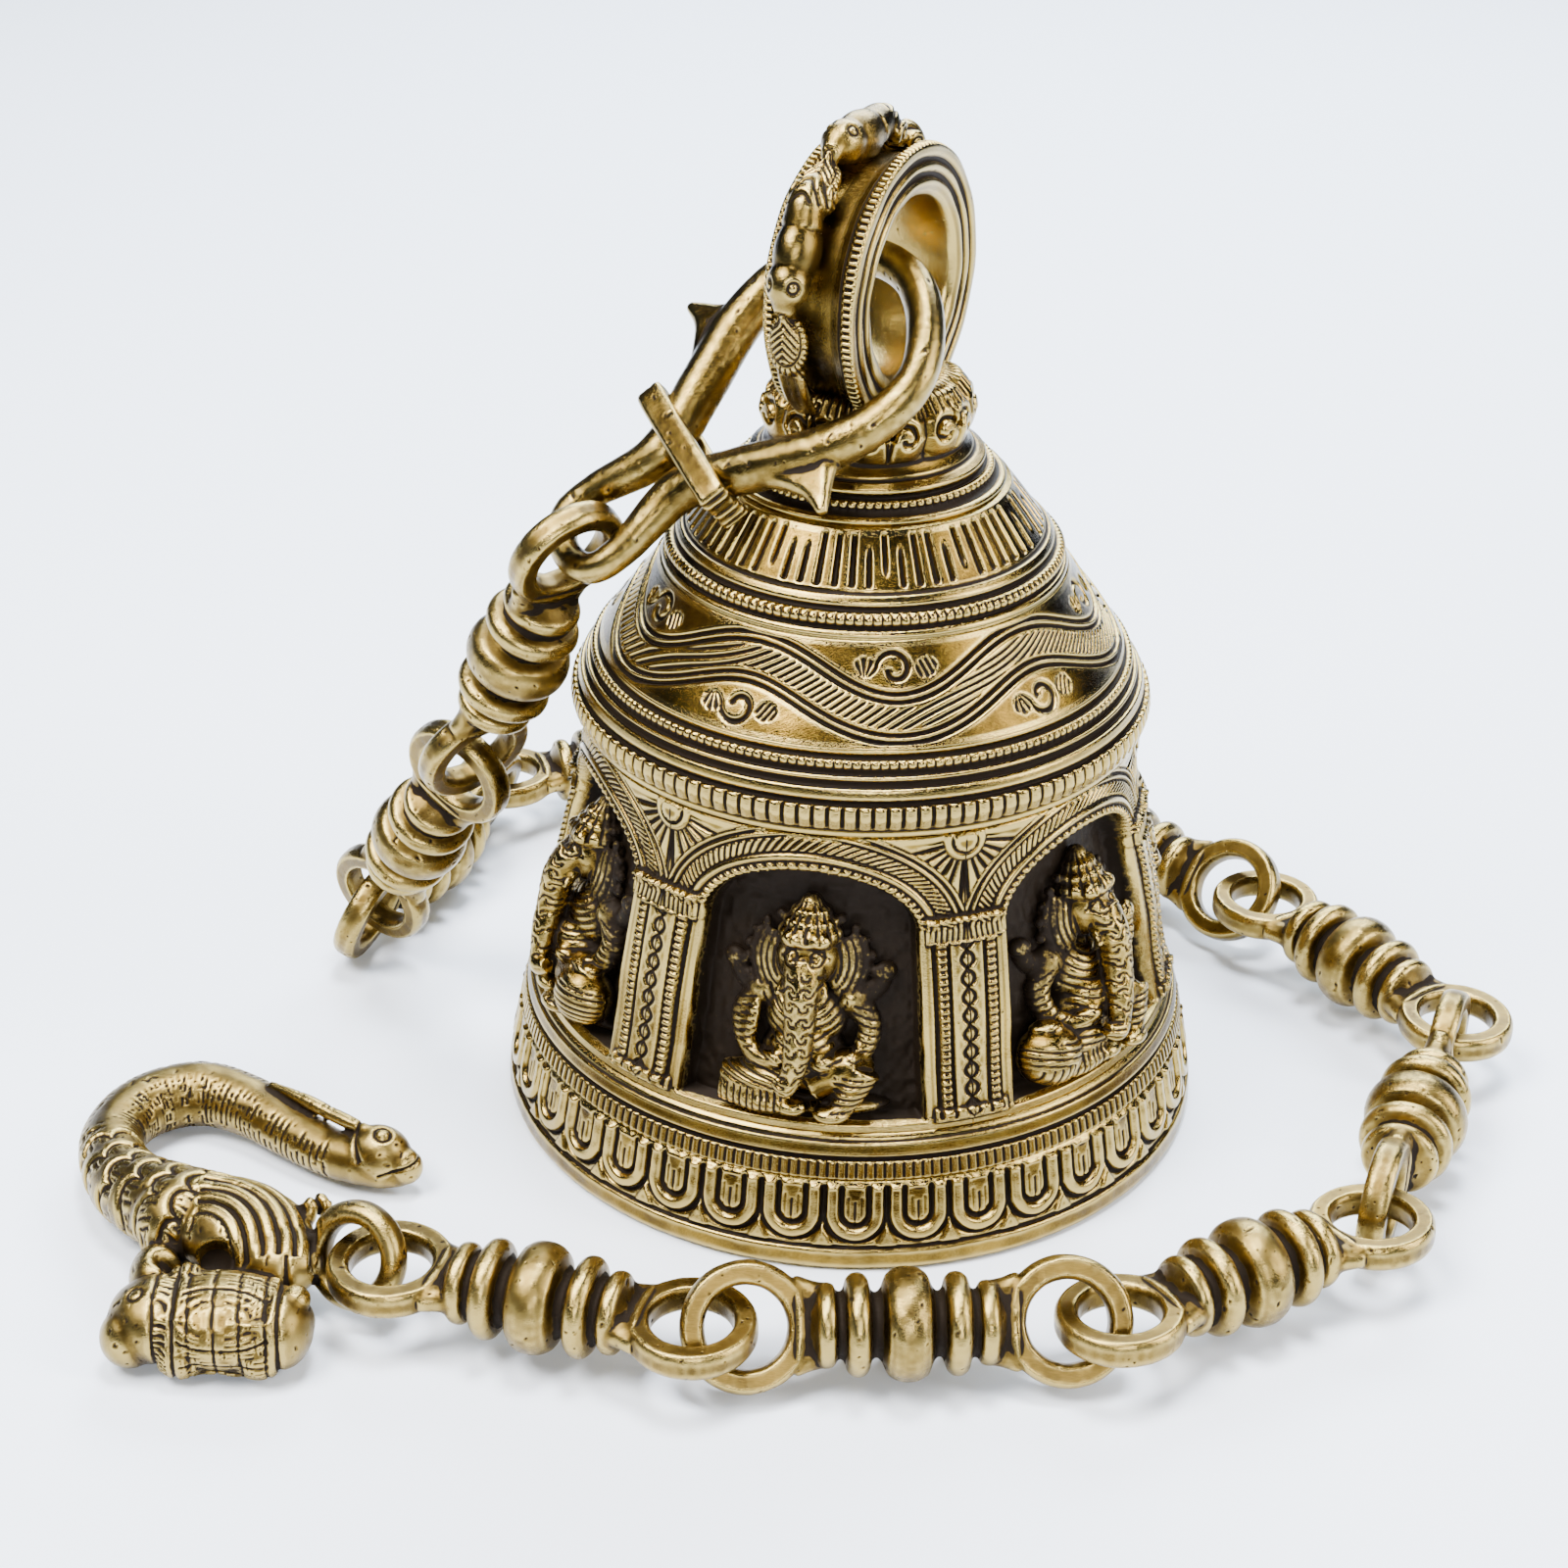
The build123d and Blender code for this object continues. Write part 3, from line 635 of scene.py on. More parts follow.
def arcade_relief(azimuth, height, along):
    """One bay: a round-headed niche between two panelled pillars, azimuth 0 at its middle."""
    radius = np.interp(height, [24, 33.7, 42, 58, 74.6], [57.4, 55.3, 53.9, 50.0, 48.2])
    x = np.radians(azimuth) * radius
    half_bay = np.radians(30) * radius
    sill, spring, rise = 25.5, 56.4, 12.0
    jamb = np.interp(height, [25.3, spring], [21.9, 18.7])
    up = np.maximum(height - spring, 0.0)
    reach = np.hypot(x, up)
    ratio = np.sqrt((x / jamb) ** 2 + (up / rise) ** 2) + 1e-9
    outside = np.where(height > spring, reach * (1 - 1 / ratio), np.abs(x) - jamb)
    outside = np.where(height < sill, np.maximum(outside, sill - height), outside)
    opening = smooth_step(outside, -0.5, 0.1)
    flat = np.stack([x.ravel(), height.ravel(), 0 * x.ravel()], 1)
    rough = lattice_noise(flat, 1.3, 5).reshape(x.shape)
    coarse = lattice_noise(flat, 4.0, 6).reshape(x.shape)
    niche = -5.5 + 0.22 * rough + 0.16 * coarse

    arch = (height > 58.4) * smooth_step(outside, 0.0, 0.25)
    turn = np.degrees(np.arctan2(up * jamb / rise, x))
    beaded = ridge(repeat(turn, 5.2) / 5.2 * 1.75, 0.82, 0.85) * ridge(outside - 0.9, 0.85, 1.0)
    plain = ridge(outside - 2.5, 0.75, 0.75)
    leaf_cuts = hatch(turn * 0.36 + outside * 0.9, 1.25, 0.42, 0.5)
    leafy = (0.55 + 1.3 * leaf_cuts) * smooth_step(np.abs(outside - 4.7), 1.30, 1.05)
    edging = ridge(outside - 6.6, 0.42, 0.6) + ridge(outside - 7.8, 0.4, 0.55)
    arch_relief = (beaded + plain + leafy + edging - 0.40) * arch

    from_border = half_bay - np.abs(x)
    fan_x, fan_z = from_border, 73.6 - height
    fan_reach = np.hypot(fan_x, fan_z)
    fan_turn = np.degrees(np.arctan2(fan_x, np.maximum(fan_z, 1e-3)))
    rays = groove(repeat(fan_turn - 4, 15.0) * np.radians(fan_reach), 0.62, 0.75)
    fan = np.where(fan_reach < 1.9, 0.75, 0.0) + ridge(fan_reach - 2.9, 0.7, 0.45)
    fan = fan + (0.25 + rays) * smooth_step(fan_reach, 3.7, 4.1)
    spandrel = smooth_step(outside, 8.1, 8.4) * (height > 60)
    arch_relief = arch_relief * (1 - spandrel) + fan * spandrel

    shaft = (height < 56.2) * (height > 25.8)
    rope = hatch(height, 1.25, 0.50, 0.60)
    strips = smooth_step(np.abs(from_border - 4.35), 0.95, 0.75)
    frame_line = groove(from_border - 3.2, 0.5, 0.8) + groove(from_border - 5.45, 0.6, 0.9)
    wave = 1.05 * np.sin(height * 2 * pi / 6.4)
    twist = groove(x_signed_border(x, half_bay) - wave, 0.65, 0.6)
    twist = twist + groove(x_signed_border(x, half_bay) + wave, 0.65, 0.6)
    panel = (0.30 + twist) * smooth_step(from_border, 2.95, 2.6)
    pillar = (0.55 + rope) * strips + panel + frame_line
    margin = -0.55 * smooth_step(from_border, 5.3, 5.7)
    pillar_relief = (0.35 + pillar + margin) * shaft

    cap_cut = hatch(x, 0.95, 0.35, 0.4)
    cap_zone = smooth_step(np.abs(height - 58.1), 2.35, 2.1) * smooth_step(from_border, 6.9, 6.6)
    capital = (1.15 + cap_cut * smooth_step(np.abs(height - 57.6), 1.5, 1.2)) * cap_zone
    capital = capital + ridge(height - 59.9, 0.5, 0.55) * smooth_step(from_border, 7.3, 7.0)
    plinth = 0.9 * smooth_step(np.abs(height - 26.3), 1.2, 0.9) * smooth_step(from_border, 6.6, 6.2)
    wall = np.maximum(arch_relief + pillar_relief, 0.0 * x - 0.9) + capital + plinth
    return opening * wall + (1 - opening) * niche


def x_signed_border(x, half_bay):
    """Distance across a pillar from its middle, signed so that both halves match."""
    return np.where(x > 0, x - half_bay, x + half_bay)


def shoulder_relief(azimuth, height, along):
    """Plain fillets, a band of rounded flutes, and a row of beads."""
    pitch, per_degree = 360 / 128, 0.87
    flute = ridge(repeat(azimuth, pitch) * per_degree, 1.22, 0.62)
    flutes = (flute - 0.25) * between(height, 77.1, 77.6, 81.1, 81.6)
    slit = groove(repeat(azimuth + pitch / 2, pitch) * per_degree, 0.5, 0.5)
    slit = slit * smooth_step(np.abs(height - 79.4), 2.2, 1.8)
    bead = ridge(repeat(azimuth, 360 / 196) * 0.83, 0.72, 0.55) * ridge(height - 87.2, 0.85, 1.0)
    levels = (75.15, 76.9, 81.8, 84.5, 86.2, 88.35)
    lines = cut_lines(height, [(level, 0.55, 0.75) for level in levels])
    return flutes + slit + bead + lines


VINE_SWING = 3.9
VINE_WAVES = 5


def dome_relief(azimuth, height, along):
    """Polished dome engraved with a wandering vine: doubled lines with hatching between them."""
    radius = np.interp(height, [89.5, 96, 103.5], [45, 40.3, 34.5])
    slant = along - 8.9
    phase = radians(1) * (azimuth + 82.5) * VINE_WAVES
    centre = -VINE_SWING * np.cos(phase)
    slope = VINE_SWING * VINE_WAVES * np.sin(phase) / radius
    offset = (slant - centre) / np.sqrt(1 + slope ** 2)
    doubled = ((-3.95, 0.75, 0.95), (-2.75, 0.75, 0.9), (2.75, 0.75, 0.9), (3.95, 0.75, 0.95))
    lines = cut_lines(offset, doubled)
    rib = ridge(np.abs(offset) - 3.35, 0.55, 0.35)
    travel = np.radians(azimuth) * radius
    strokes = hatch(travel + 0.95 * offset, 2.5, 0.80, 0.8)
    strokes = strokes * smooth_step(np.abs(offset), 2.0, 1.5)
    engraved = lines + rib + strokes + vine_curls(slant, phase, radius)
    window = between(slant, -8.2, -7.8, 7.6, 8.0)
    return engraved * window


def vine_curls(slant, phase, radius):
    """Curl and leaf sprig in the field above each trough and below each crest."""
    marks = 0.0 * slant
    for shift, level, flip in ((0.0, 4.2, 1.0), (pi, -4.4, -1.0)):
        x = np.arctan2(np.sin(phase - shift), np.cos(phase - shift)) / VINE_WAVES * radius
        y = (slant - level) * flip
        curl = np.hypot(x + 0.6, y)
        turn = np.arctan2(y, x + 0.6)
        spiral = 1.0 + 0.36 * (turn + pi)
        marks = marks + groove(curl - spiral, 0.8, 0.9) * (curl < 3.2)
        leaf = smooth_step(np.hypot((x - 4.6) / 1.9, y / 1.7), 1.0, 0.85)
        marks = marks + leaf * hatch(x + 0.5 * y, 1.05, 0.55, 0.75)
        sprig = smooth_step(np.hypot((x + 5.2) / 1.9, (y - 0.3) / 1.7), 1.0, 0.85)
        marks = marks + sprig * hatch(np.arctan2(y + 1.9, x + 5.6) * 2.6, 1.0, 0.5, 0.75)
    return marks


def cone_relief(azimuth, height, along):
    """Beaded fillet, then a cone cut with long strokes and wedges, running up to the collar."""
    bead = ridge(repeat(azimuth, 360 / 140) * 0.585, 0.72, 0.5) * ridge(height - 106.6, 0.95, 1.0)
    levels = ((105.35, 0.45, 0.5), (108.0, 0.45, 0.55), (103.9, 0.4, 0.4), (110.2, 0.4, 0.45))
    lines = cut_lines(height, levels)
    count = 66
    sector = np.floor(azimuth / (360 / count))
    x = repeat(azimuth - 180 / count, 360 / count) * np.radians(27.5)
    chance = np.random.default_rng(11).uniform(0, 1, 400)
    pick = chance[np.mod(sector, count).astype(int)]
    up = np.clip((height - 110.6) / 7.2, 0, 1)
    long_cut = groove(x, 0.8, 0.95)
    wedge = groove(x, 0.7, 1.0) * smooth_step(np.where(pick < 0.6, up, 1 - up), 0.15, 0.5)
    strokes = np.where(pick < 0.45, long_cut, wedge)
    window = between(height, 110.7, 111.1, 117.6, 118.0)
    return bead + lines + strokes * window


def bell_tiers():
    """The casting as stacked closed rings whose inner faces make the bell's inside."""
    foot = [(62.3, 0.0), (63.2, 0.25), (63.5, 0.9), (63.3, 3.6), (62.7, 4.3), (60.4, 15.4), (60.1, 16.2)]
    foot_in = [(58.0, 0.0), (57.0, 6.0), (54.0, 14.0), (52.6, 16.2)]
    milled = [
        (60.1, 16.2), (60.8, 16.7), (60.0, 19.7), (59.3, 20.2), (59.7, 20.8), (59.0, 23.0),
        (57.6, 24.0),
    ]
    milled_in = [(52.6, 16.2), (50.0, 22.0), (49.4, 24.0)]
    arcade = [
        (57.6, 24.0), (55.3, 33.7), (53.9, 42.0), (52.3, 49.0), (50.0, 58.0), (48.9, 66.0),
        (48.2, 74.8),
    ]
    arcade_in = [(49.4, 24.0), (48.4, 27.0), (46.0, 40.0), (43.5, 52.0), (41.0, 66.0), (40.4, 74.8)]
    shoulder = [
        (48.2, 74.8), (49.0, 75.4), (49.0, 76.6), (49.6, 77.2), (50.2, 79.4), (49.8, 81.4), (49.0, 81.9),
        (49.2, 82.5), (48.8, 83.9), (48.1, 84.5), (47.4, 84.8), (47.9, 85.4), (47.2, 86.1), (46.4, 86.5),
        (46.2, 88.0), (45.4, 88.4), (45.2, 89.4),
    ]
    shoulder_in = [(40.4, 74.8), (39.2, 84.0), (36.6, 89.4)]
    dome = [(45.2, 89.4), (43.4, 92.0), (40.6, 95.6), (37.9, 99.2), (35.5, 102.6), (34.8, 103.6)]
    dome_in = [(36.6, 89.4), (31.2, 98.0), (28.2, 103.6)]
    cone = [
        (34.8, 103.6), (34.6, 104.6), (33.9, 105.2), (33.5, 105.6), (33.7, 106.5), (32.9, 107.7),
        (32.1, 108.1), (32.2, 108.9), (31.2, 110.0), (30.3, 110.6), (27.6, 114.2), (24.3, 118.4),
    ]
    cone_in = [(28.2, 103.6), (23.0, 109.5), (16.0, 113.5), (4.0, 113.5), (4.0, 118.4)]
    for name, outline, inside, columns, spacing, relief in (
        ("bell_foot_petals", foot, foot_in, 1440, 0.26, foot_relief),
        ("bell_milled_band", milled, milled_in, 1440, 0.24, milled_relief),
        ("bell_shoulder", shoulder, shoulder_in, 1280, 0.26, shoulder_relief),
        ("bell_vine_dome", dome, dome_in, 1200, 0.24, dome_relief),
        ("bell_cone", cone, cone_in, 1120, 0.24, cone_relief),
    ):
        mesh = turned_relief(name, outline, inside, columns, spacing, relief)
        add_piece(name, mesh, BELL_BRASS, "bell", "bell_brass", "bell_shell")
    bay = turned_relief("bay", arcade, arcade_in, 230, 0.25, arcade_relief, (-30.0, 30.0))
    for i in range(NICHES):
        mesh = bay.copy()
        placed(mesh, Matrix.Rotation(radians(FIRST_NICHE + NICHE_STEP * i), 4, "Z"))
        points = vertex_array(mesh)
        wall = np.interp(points[:, 2], [z for _, z in arcade], [r for r, _ in arcade])
        # painted shade: the niche darkens with its depth behind the wall face
        store_layer(mesh, "painted_shade", smooth_step(wall - np.hypot(points[:, 0], points[:, 1]), 1.2, 4.2))
        add_piece(f"bell_arcade_bay_{i + 1}", mesh, BELL_BRASS, "bell", "bell_brass", "bell_shell")
    bpy.data.meshes.remove(bay)


# ------------------------------------------------------------------ crown: collar and ring
def collar_relief(azimuth, height, along):
    """Bead row, fillets, and a bulb of eight curled scrolls."""
    bead = ridge(repeat(azimuth, 360 / 92) * 0.366, 0.62, 0.5) * ridge(height - 121.0, 0.7, 1.0)
    lines = cut_lines(height, ((120.1, 0.4, 0.45), (122.0, 0.4, 0.45), (124.3, 0.4, 0.4)))
    lobe = repeat(azimuth - 10, 45) / 22.5
    x, y = lobe * 6.9, height - 130.9
    bulge = 1.9 * np.sqrt(np.clip(1 - lobe ** 2, 0, 1)) - 1.3
    curl_x = np.abs(x) - 3.1
    reach = np.hypot(curl_x, y)
    turn = np.arctan2(y, curl_x)
    spiral = groove(reach - 0.55 - 0.34 * (turn + pi), 0.95, 1.15) * (reach < 3.2)
    stem = groove(np.abs(x) - 0.35 - 0.12 * y, 0.85, 1.0) * smooth_step(np.abs(y), 4.6, 4.0)
    frill = groove(repeat(azimuth, 5.0) * 0.3, 0.4, 0.35) * smooth_step(height, 133.6, 134.2)
    zone = between(height, 126.0, 127.2, 136.0, 136.8)
    return bead + lines + (bulge + spiral + stem) * zone + frill


def ring_relief(azimuth, height, along):
    """Cuts across both rims, and slight waves left by hand finishing."""
    cut = groove(repeat(azimuth, 360 / 124) * 0.40, 0.55, 0.7)
    skew = 0.08 * np.sin(np.radians(azimuth) * 5) + 0.05 * np.sin(np.radians(azimuth) * 13 + 1)
    return cut * rim_share(along) + skew


def rim_share(along):
    """1 along the two rims of the ring's outline, 0 on its faces and in its groove."""
    share = 0.0
    for run in (along, RING_OUTLINE_LENGTH - along):
        share = share + between(run, RIM_FROM - 0.2, RIM_FROM + 0.2, RIM_TO - 0.2, RIM_TO + 0.2)
    return share


RING_HALF_OUTLINE = [
    (14.9, -7.0), (15.6, -7.6), (16.6, -8.0), (17.2, -8.0), (17.7, -7.3), (18.4, -7.3),
    (18.9, -8.0), (19.7, -8.0), (20.2, -7.4), (20.8, -7.4), (21.3, -8.0), (22.6, -8.0),
    (23.2, -7.5), (23.2, -6.1), (22.6, -5.7), (21.4, -5.0), (20.7, -3.2), (20.4, 0.0),
]


def polyline_length(points):
    return sum(hypot(b[0] - a[0], b[1] - a[1]) for a, b in zip(points[:-1], points[1:]))


RIM_FROM = polyline_length(RING_HALF_OUTLINE[:13]) - 0.3
RIM_TO = polyline_length(RING_HALF_OUTLINE[:15])
RING_OUTLINE_LENGTH = 2 * polyline_length(RING_HALF_OUTLINE)
RING_STAND = Matrix.Translation((0, 0, RING_CENTRE)) @ Matrix.Rotation(radians(RING_AZIMUTH), 4, "Z")
RING_PLACE = RING_STAND @ Matrix.Rotation(radians(90), 4, "Y")
BIRD_LANE = -2.7


def ring_bird(name, angle, flip):
    """Smooth bird lying in the ring's hollow: leaf at its bill, curled tail, ribbed stem."""
    lump = Lump()
    base = 21.0

    def at(x, y, z):
        return BIRD_LANE + x, y * flip, base + z

    lump.egg(at(0, 0, 2.2), (3.7, 6.2, 4.4))
    lump.egg(at(0, 5.0, 3.0), (3.5, 4.2, 3.6))
    lump.tube([at(0, 7.4, 3.0), at(0, 9.6, 2.0), at(0, 11.0, 0.6)], [2.5, 1.6, 0.8])
    tail = [at(0, -4.0, 2.6), at(0, -8.4, 2.8), at(0, -10.8, 0.8), at(0, -9.6, -1.0)]
    lump.tube(tail, [3.4, 2.8, 2.0, 1.4])
    for side in (2.4, -2.4):
        lump.egg(at(side, -8.8, 1.2), (1.7, 2.6, 2.2))
    lump.egg(at(0, 14.0, -1.4), (3.6, 5.2, 2.2), (-28 * flip, 0, 0))
    for lane in (-1, 0, 1):
        stem = [at(1.5 * lane, 17.4, -4.0), at(1.4 * lane, 21.2, -8.6), at(1.1 * lane, 23.2, -13.4)]
        lump.tube(stem, [1.1, 1.0, 0.7])
    mesh = lump.fused(name, 0.32, 4)

    points, normals = vertex_array(mesh), normal_array(mesh)
    x, y, z = points[:, 0] - BIRD_LANE, points[:, 1] * flip, points[:, 2] - base
    cut = np.zeros(len(points))
    eye = np.hypot(np.hypot(y - 5.8, z - 5.2), np.abs(x) - 2.0)
    cut += groove(eye - 1.0, 0.5, 0.4)
    leaf = (y > 9.8) * (y < 18.6) * (z > -6.0)
    edge = np.hypot(x / 4.0, (y - 14.0) / 5.0)
    cut += leaf * groove((edge - 0.74) * 4.0, 0.6, 0.55)
    cut += leaf * (edge < 0.68) * hatch(y - 0.8 * np.abs(x), 1.15, 0.5, 0.5)
    cut += leaf * (edge > 0.80) * hatch(np.arctan2(x, y - 14.0) * 4.0, 1.0, 0.4, 0.35)
    cut += hatch(np.hypot(y + 9.4, z - 0.6), 1.25, 0.45, 0.45) * (y < -7.2)
    press(mesh, points, normals, cut)
    placed(mesh, RING_STAND @ Matrix.Rotation(radians(angle), 4, "X"))
    return mesh


def crown():
    collar = [
        (22.9, 118.4), (23.5, 118.8), (23.5, 119.4), (22.4, 120.0), (20.9, 120.4), (20.9, 121.6),
        (19.6, 122.0), (19.9, 123.2), (18.4, 124.0), (17.0, 125.2), (16.2, 126.2), (17.0, 127.8),
        (17.9, 130.4), (17.2, 133.2), (15.0, 135.8), (12.6, 137.0), (10.0, 137.3),
    ]
    inside = [(4.0, 118.4), (4.0, 137.3)]
    mesh = turned_relief("crown_collar_scrolls", collar, inside, 900, 0.2, collar_relief)
    add_piece("crown_collar_scrolls", mesh, BELL_BRASS, "bell", "bell_brass", "crown_collar")

    outline = RING_HALF_OUTLINE + [(r, -h) for r, h in RING_HALF_OUTLINE[-2::-1]]
    mesh = turned_relief("hanging_ring", outline, [(14.5, -6.2), (14.5, 6.2)], 1100, 0.24, ring_relief)
    placed(mesh, RING_PLACE)
    add_piece("hanging_ring", mesh, RING_BRASS, "bell", "ring_brass", "suspension_ring")
    for number, (angle, flip) in enumerate(((3, -1), (65, -1), (-59, 1)), 1):
        mesh = ring_bird(f"ring_bird_{number}", angle, flip)
        piece = f"ring_bird_{number}"
        add_piece(piece, mesh, RING_BRASS, "bell", "ring_brass", "suspension_ring", (8, 40))


# ------------------------------------------------------------------ figures in the niches
def niche_radius(height):
    """Radius of a niche's back wall at a height."""
    return float(np.interp(height, [24, 42, 58, 74], [51.9, 48.4, 44.5, 42.7]))


POSE_TURN = {"front": 0.0, "right": 1.0, "left": -1.0}
UPPER_ARM = ((7.6, 1.2, 19.6), (10.6, 1.8, 15.6), (10.0, 3.0, 11.2))
FOREARM = ((10.0, 3.0, 11.2), (7.4, 5.2, 9.2), (4.4, 6.6, 9.6))
RAISED_ARM = ((8.0, 0.4, 20.4), (10.8, 0.4, 21.2), (12.4, 1.0, 23.6))
TUSK = ((2.6, 6.4, 24.4), (3.6, 7.8, 22.8), (4.2, 8.6, 21.8))
CROWN_TIERS = (
    (30.2, 5.3), (31.8, 5.4), (32.4, 4.4), (33.6, 4.6), (34.2, 3.4), (35.4, 3.4), (36.0, 2.2), (37.2, 1.7),
    (38.0, 0.7),
)


def seated_figure(name, pose):
    """Elephant-headed figure: X to its viewer's right, Y out of the wall, Z up from the sill."""
    turn = POSE_TURN[pose]
    side = 2.4 * turn
    lump = Lump()
    lump.egg((0, 1.0, 8.6), (7.6, 5.6, 7.2))
    lump.egg((0, 1.2, 16.4), (7.0, 4.6, 6.0))
    lump.egg((0, 3.4, 10.8), (5.6, 4.6, 5.2))
    for hand in (-1, 1):
        lump.egg((7.4 * hand, 1.0, 20.0), (3.2, 3.0, 3.0))
        for arm, thickness in ((UPPER_ARM, [2.4, 2.1, 1.9]), (FOREARM, [1.9, 1.7, 1.5])):
            lump.tube([(x * hand, y, z) for x, y, z in arm], thickness)
        lump.egg((3.8 * hand, 6.8, 10.0), (1.9, 1.7, 1.6))
        lump.tube([(x * hand, y, z) for x, y, z in RAISED_ARM], [2.1, 1.9, 1.6])
        lump.egg((12.6 * hand, 1.4, 24.8), (2.0, 1.6, 1.8))
        for k in range(10):
            bend = radians(118 - 17 * k)
            halo = (side + hand * (1.6 + 9.0 * cos(bend)), 1.6, 25.0 + 9.4 * sin(bend))
            lump.egg(halo, (0.95, 1.0, 0.95))
    # thighs and shins: one leg folded flat, the other raised
    lump.tube([(-2.0, 3.6, 5.6), (-8.0, 4.2, 4.4), (-13.0, 3.2, 3.6)], [4.4, 4.0, 3.2])
    lump.tube([(-13.0, 4.6, 2.8), (-7.6, 6.2, 2.2), (-2.4, 6.4, 2.0)], [2.6, 2.2, 1.7])
    lump.egg((-1.0, 6.8, 1.8), (3.0, 2.2, 1.5))
    lump.tube([(3.0, 3.0, 5.6), (8.0, 4.6, 8.4), (10.6, 5.8, 9.6)], [4.4, 3.8, 2.9])
    lump.tube([(10.8, 6.2, 9.0), (9.2, 6.8, 5.4), (7.2, 7.0, 2.0)], [2.9, 2.4, 1.9])
    lump.egg((6.0, 7.6, 1.4), (3.2, 2.6, 1.5))
    lump.egg((0, 0.4, 1.2), (15.0, 5.6, 2.0))
    # head, ears, trunk and tusks
    lump.egg((side, 3.4, 27.4), (5.2, 4.4, 5.4))
    lump.egg((side, 4.2, 30.4), (4.4, 3.6, 3.2))
    for hand in (-1, 1):
        lump.egg((side + 6.9 * hand, 2.2, 25.8), (3.6, 1.6, 5.6), (0, 12 * hand, -20 * hand))
        lump.tube([(side + x * hand, y, z) for x, y, z in TUSK], [0.9, 0.75, 0.45])
        lump.egg((side + 2.3 * hand, 7.0, 28.4), (0.9, 0.7, 0.75))
        lump.egg((side + 2.2 * hand, 6.3, 31.0), (2.0, 1.6, 1.5))
    swing = 3.2 if pose == "front" else 4.0 * turn
    lump.tube(
        [(side, 6.2, 26.8), (side, 8.2, 22.6), (side, 8.6, 17.4), (side * 0.4, 9.4, 12.4),
         (side * 0.2 - 0.2 * swing, 9.8, 8.2), (-0.5 * swing, 10.2, 6.4), (-swing, 9.6, 7.6)],
        [3.5, 3.1, 2.8, 2.4, 2.0, 1.7, 1.4])
    # crown in tiers
    lump.turned(CROWN_TIERS, (side, 2.2, 0), "Z", 48)
    if pose == "front":
        lump.egg((-8.8, 4.0, 14.0), (1.2, 1.2, 5.0), (0, 10, 0))
    else:
        lump.egg((-11.6 * turn - 1.2, 5.2, 5.6), (5.2, 5.0, 5.4))
        lump.egg((-11.6 * turn - 1.2, 5.2, 10.8), (2.6, 2.6, 1.1))
        staff = [(11.4 * turn, 3.6, 14.0), (12.6 * turn, 5.0, 17.5), (13.0 * turn, 5.0, 20.5)]
        lump.tube(staff, [1.6, 1.5, 1.2])
        lump.egg((13.0 * turn, 5.0, 21.6), (2.0, 1.7, 1.9))
    mesh = lump.fused(name, 0.34, 3)
    chase_figure(mesh, side)
    return mesh


def chase_figure(mesh, side):
    """Chiselled lines on a figure: rings on limbs, folds on the lap, hatching on ears and crown."""
    points, normals = vertex_array(mesh), normal_array(mesh)
    x, y, z = points.T
    cut = 0.10 * lattice_noise(points, 2.2, 21)
    ears = (np.abs(x - side) > 4.9) * (z > 21.5) * (z < 31.0) * (np.abs(x - side) < 10.4)
    cut += ears * hatch(np.hypot(x - side, z - 26.5), 1.15, 0.36, 0.34)
    crown_zone = z > 30.6
    cut += crown_zone * groove(repeat(np.arctan2(x - side, y - 2.2), radians(24)) * 3.6, 0.36, 0.3)
    trunk = (np.abs(x - side * 0.6) < 3.6) * (y > 7.2) * (z > 7.5) * (z < 26.0)
    scale_x = repeat(x - side * 0.6 + 0.9 * np.sign(np.sin(z * 1.2)), 2.6)
    cut += trunk * groove(np.hypot(scale_x, repeat(z, 2.6)) - 0.75, 0.34, 0.3)
    lap = (z < 8.6) * (y > 3.5)
    cut += lap * (x < -1.5) * hatch(x * 0.25 + z, 1.3, 0.36, 0.32) * (z > 4.4)
    cut += lap * (x < -2.5) * hatch(x, 1.2, 0.34, 0.34) * (z < 4.4) * (y > 4.6)
    cut += (x > 6.0) * (z < 8.0) * (z > 2.2) * (y > 4.6) * hatch(z, 1.15, 0.36, 0.36)
    chest = (z > 10.0) * (z < 22.0) * (y > 3.0) * (np.abs(x) < 7.0) * ~trunk
    cut += chest * hatch(np.hypot(x, z - 22.5), 1.5, 0.36, 0.3)
    arms = (np.abs(x) > 8.0) * (z > 10.5) * (z < 19.5)
    cut += arms * hatch(z + 0.3 * np.abs(x), 1.35, 0.34, 0.3)
    eyes = np.hypot(np.abs(x - side) - 2.3, z - 28.4)
    cut += (y > 5.8) * groove(eyes - 1.15, 0.34, 0.3)
    brow = groove(z - 29.9 + 0.12 * (x - side) ** 2, 0.34, 0.3) * (np.abs(x - side) < 4.2) * (y > 5.0)
    press(mesh, points, normals, cut + brow)


FACING_OUT = Matrix(((0, 1, 0, 0), (1, 0, 0, 0), (0, 0, 1, 0), (0, 0, 0, 1)))


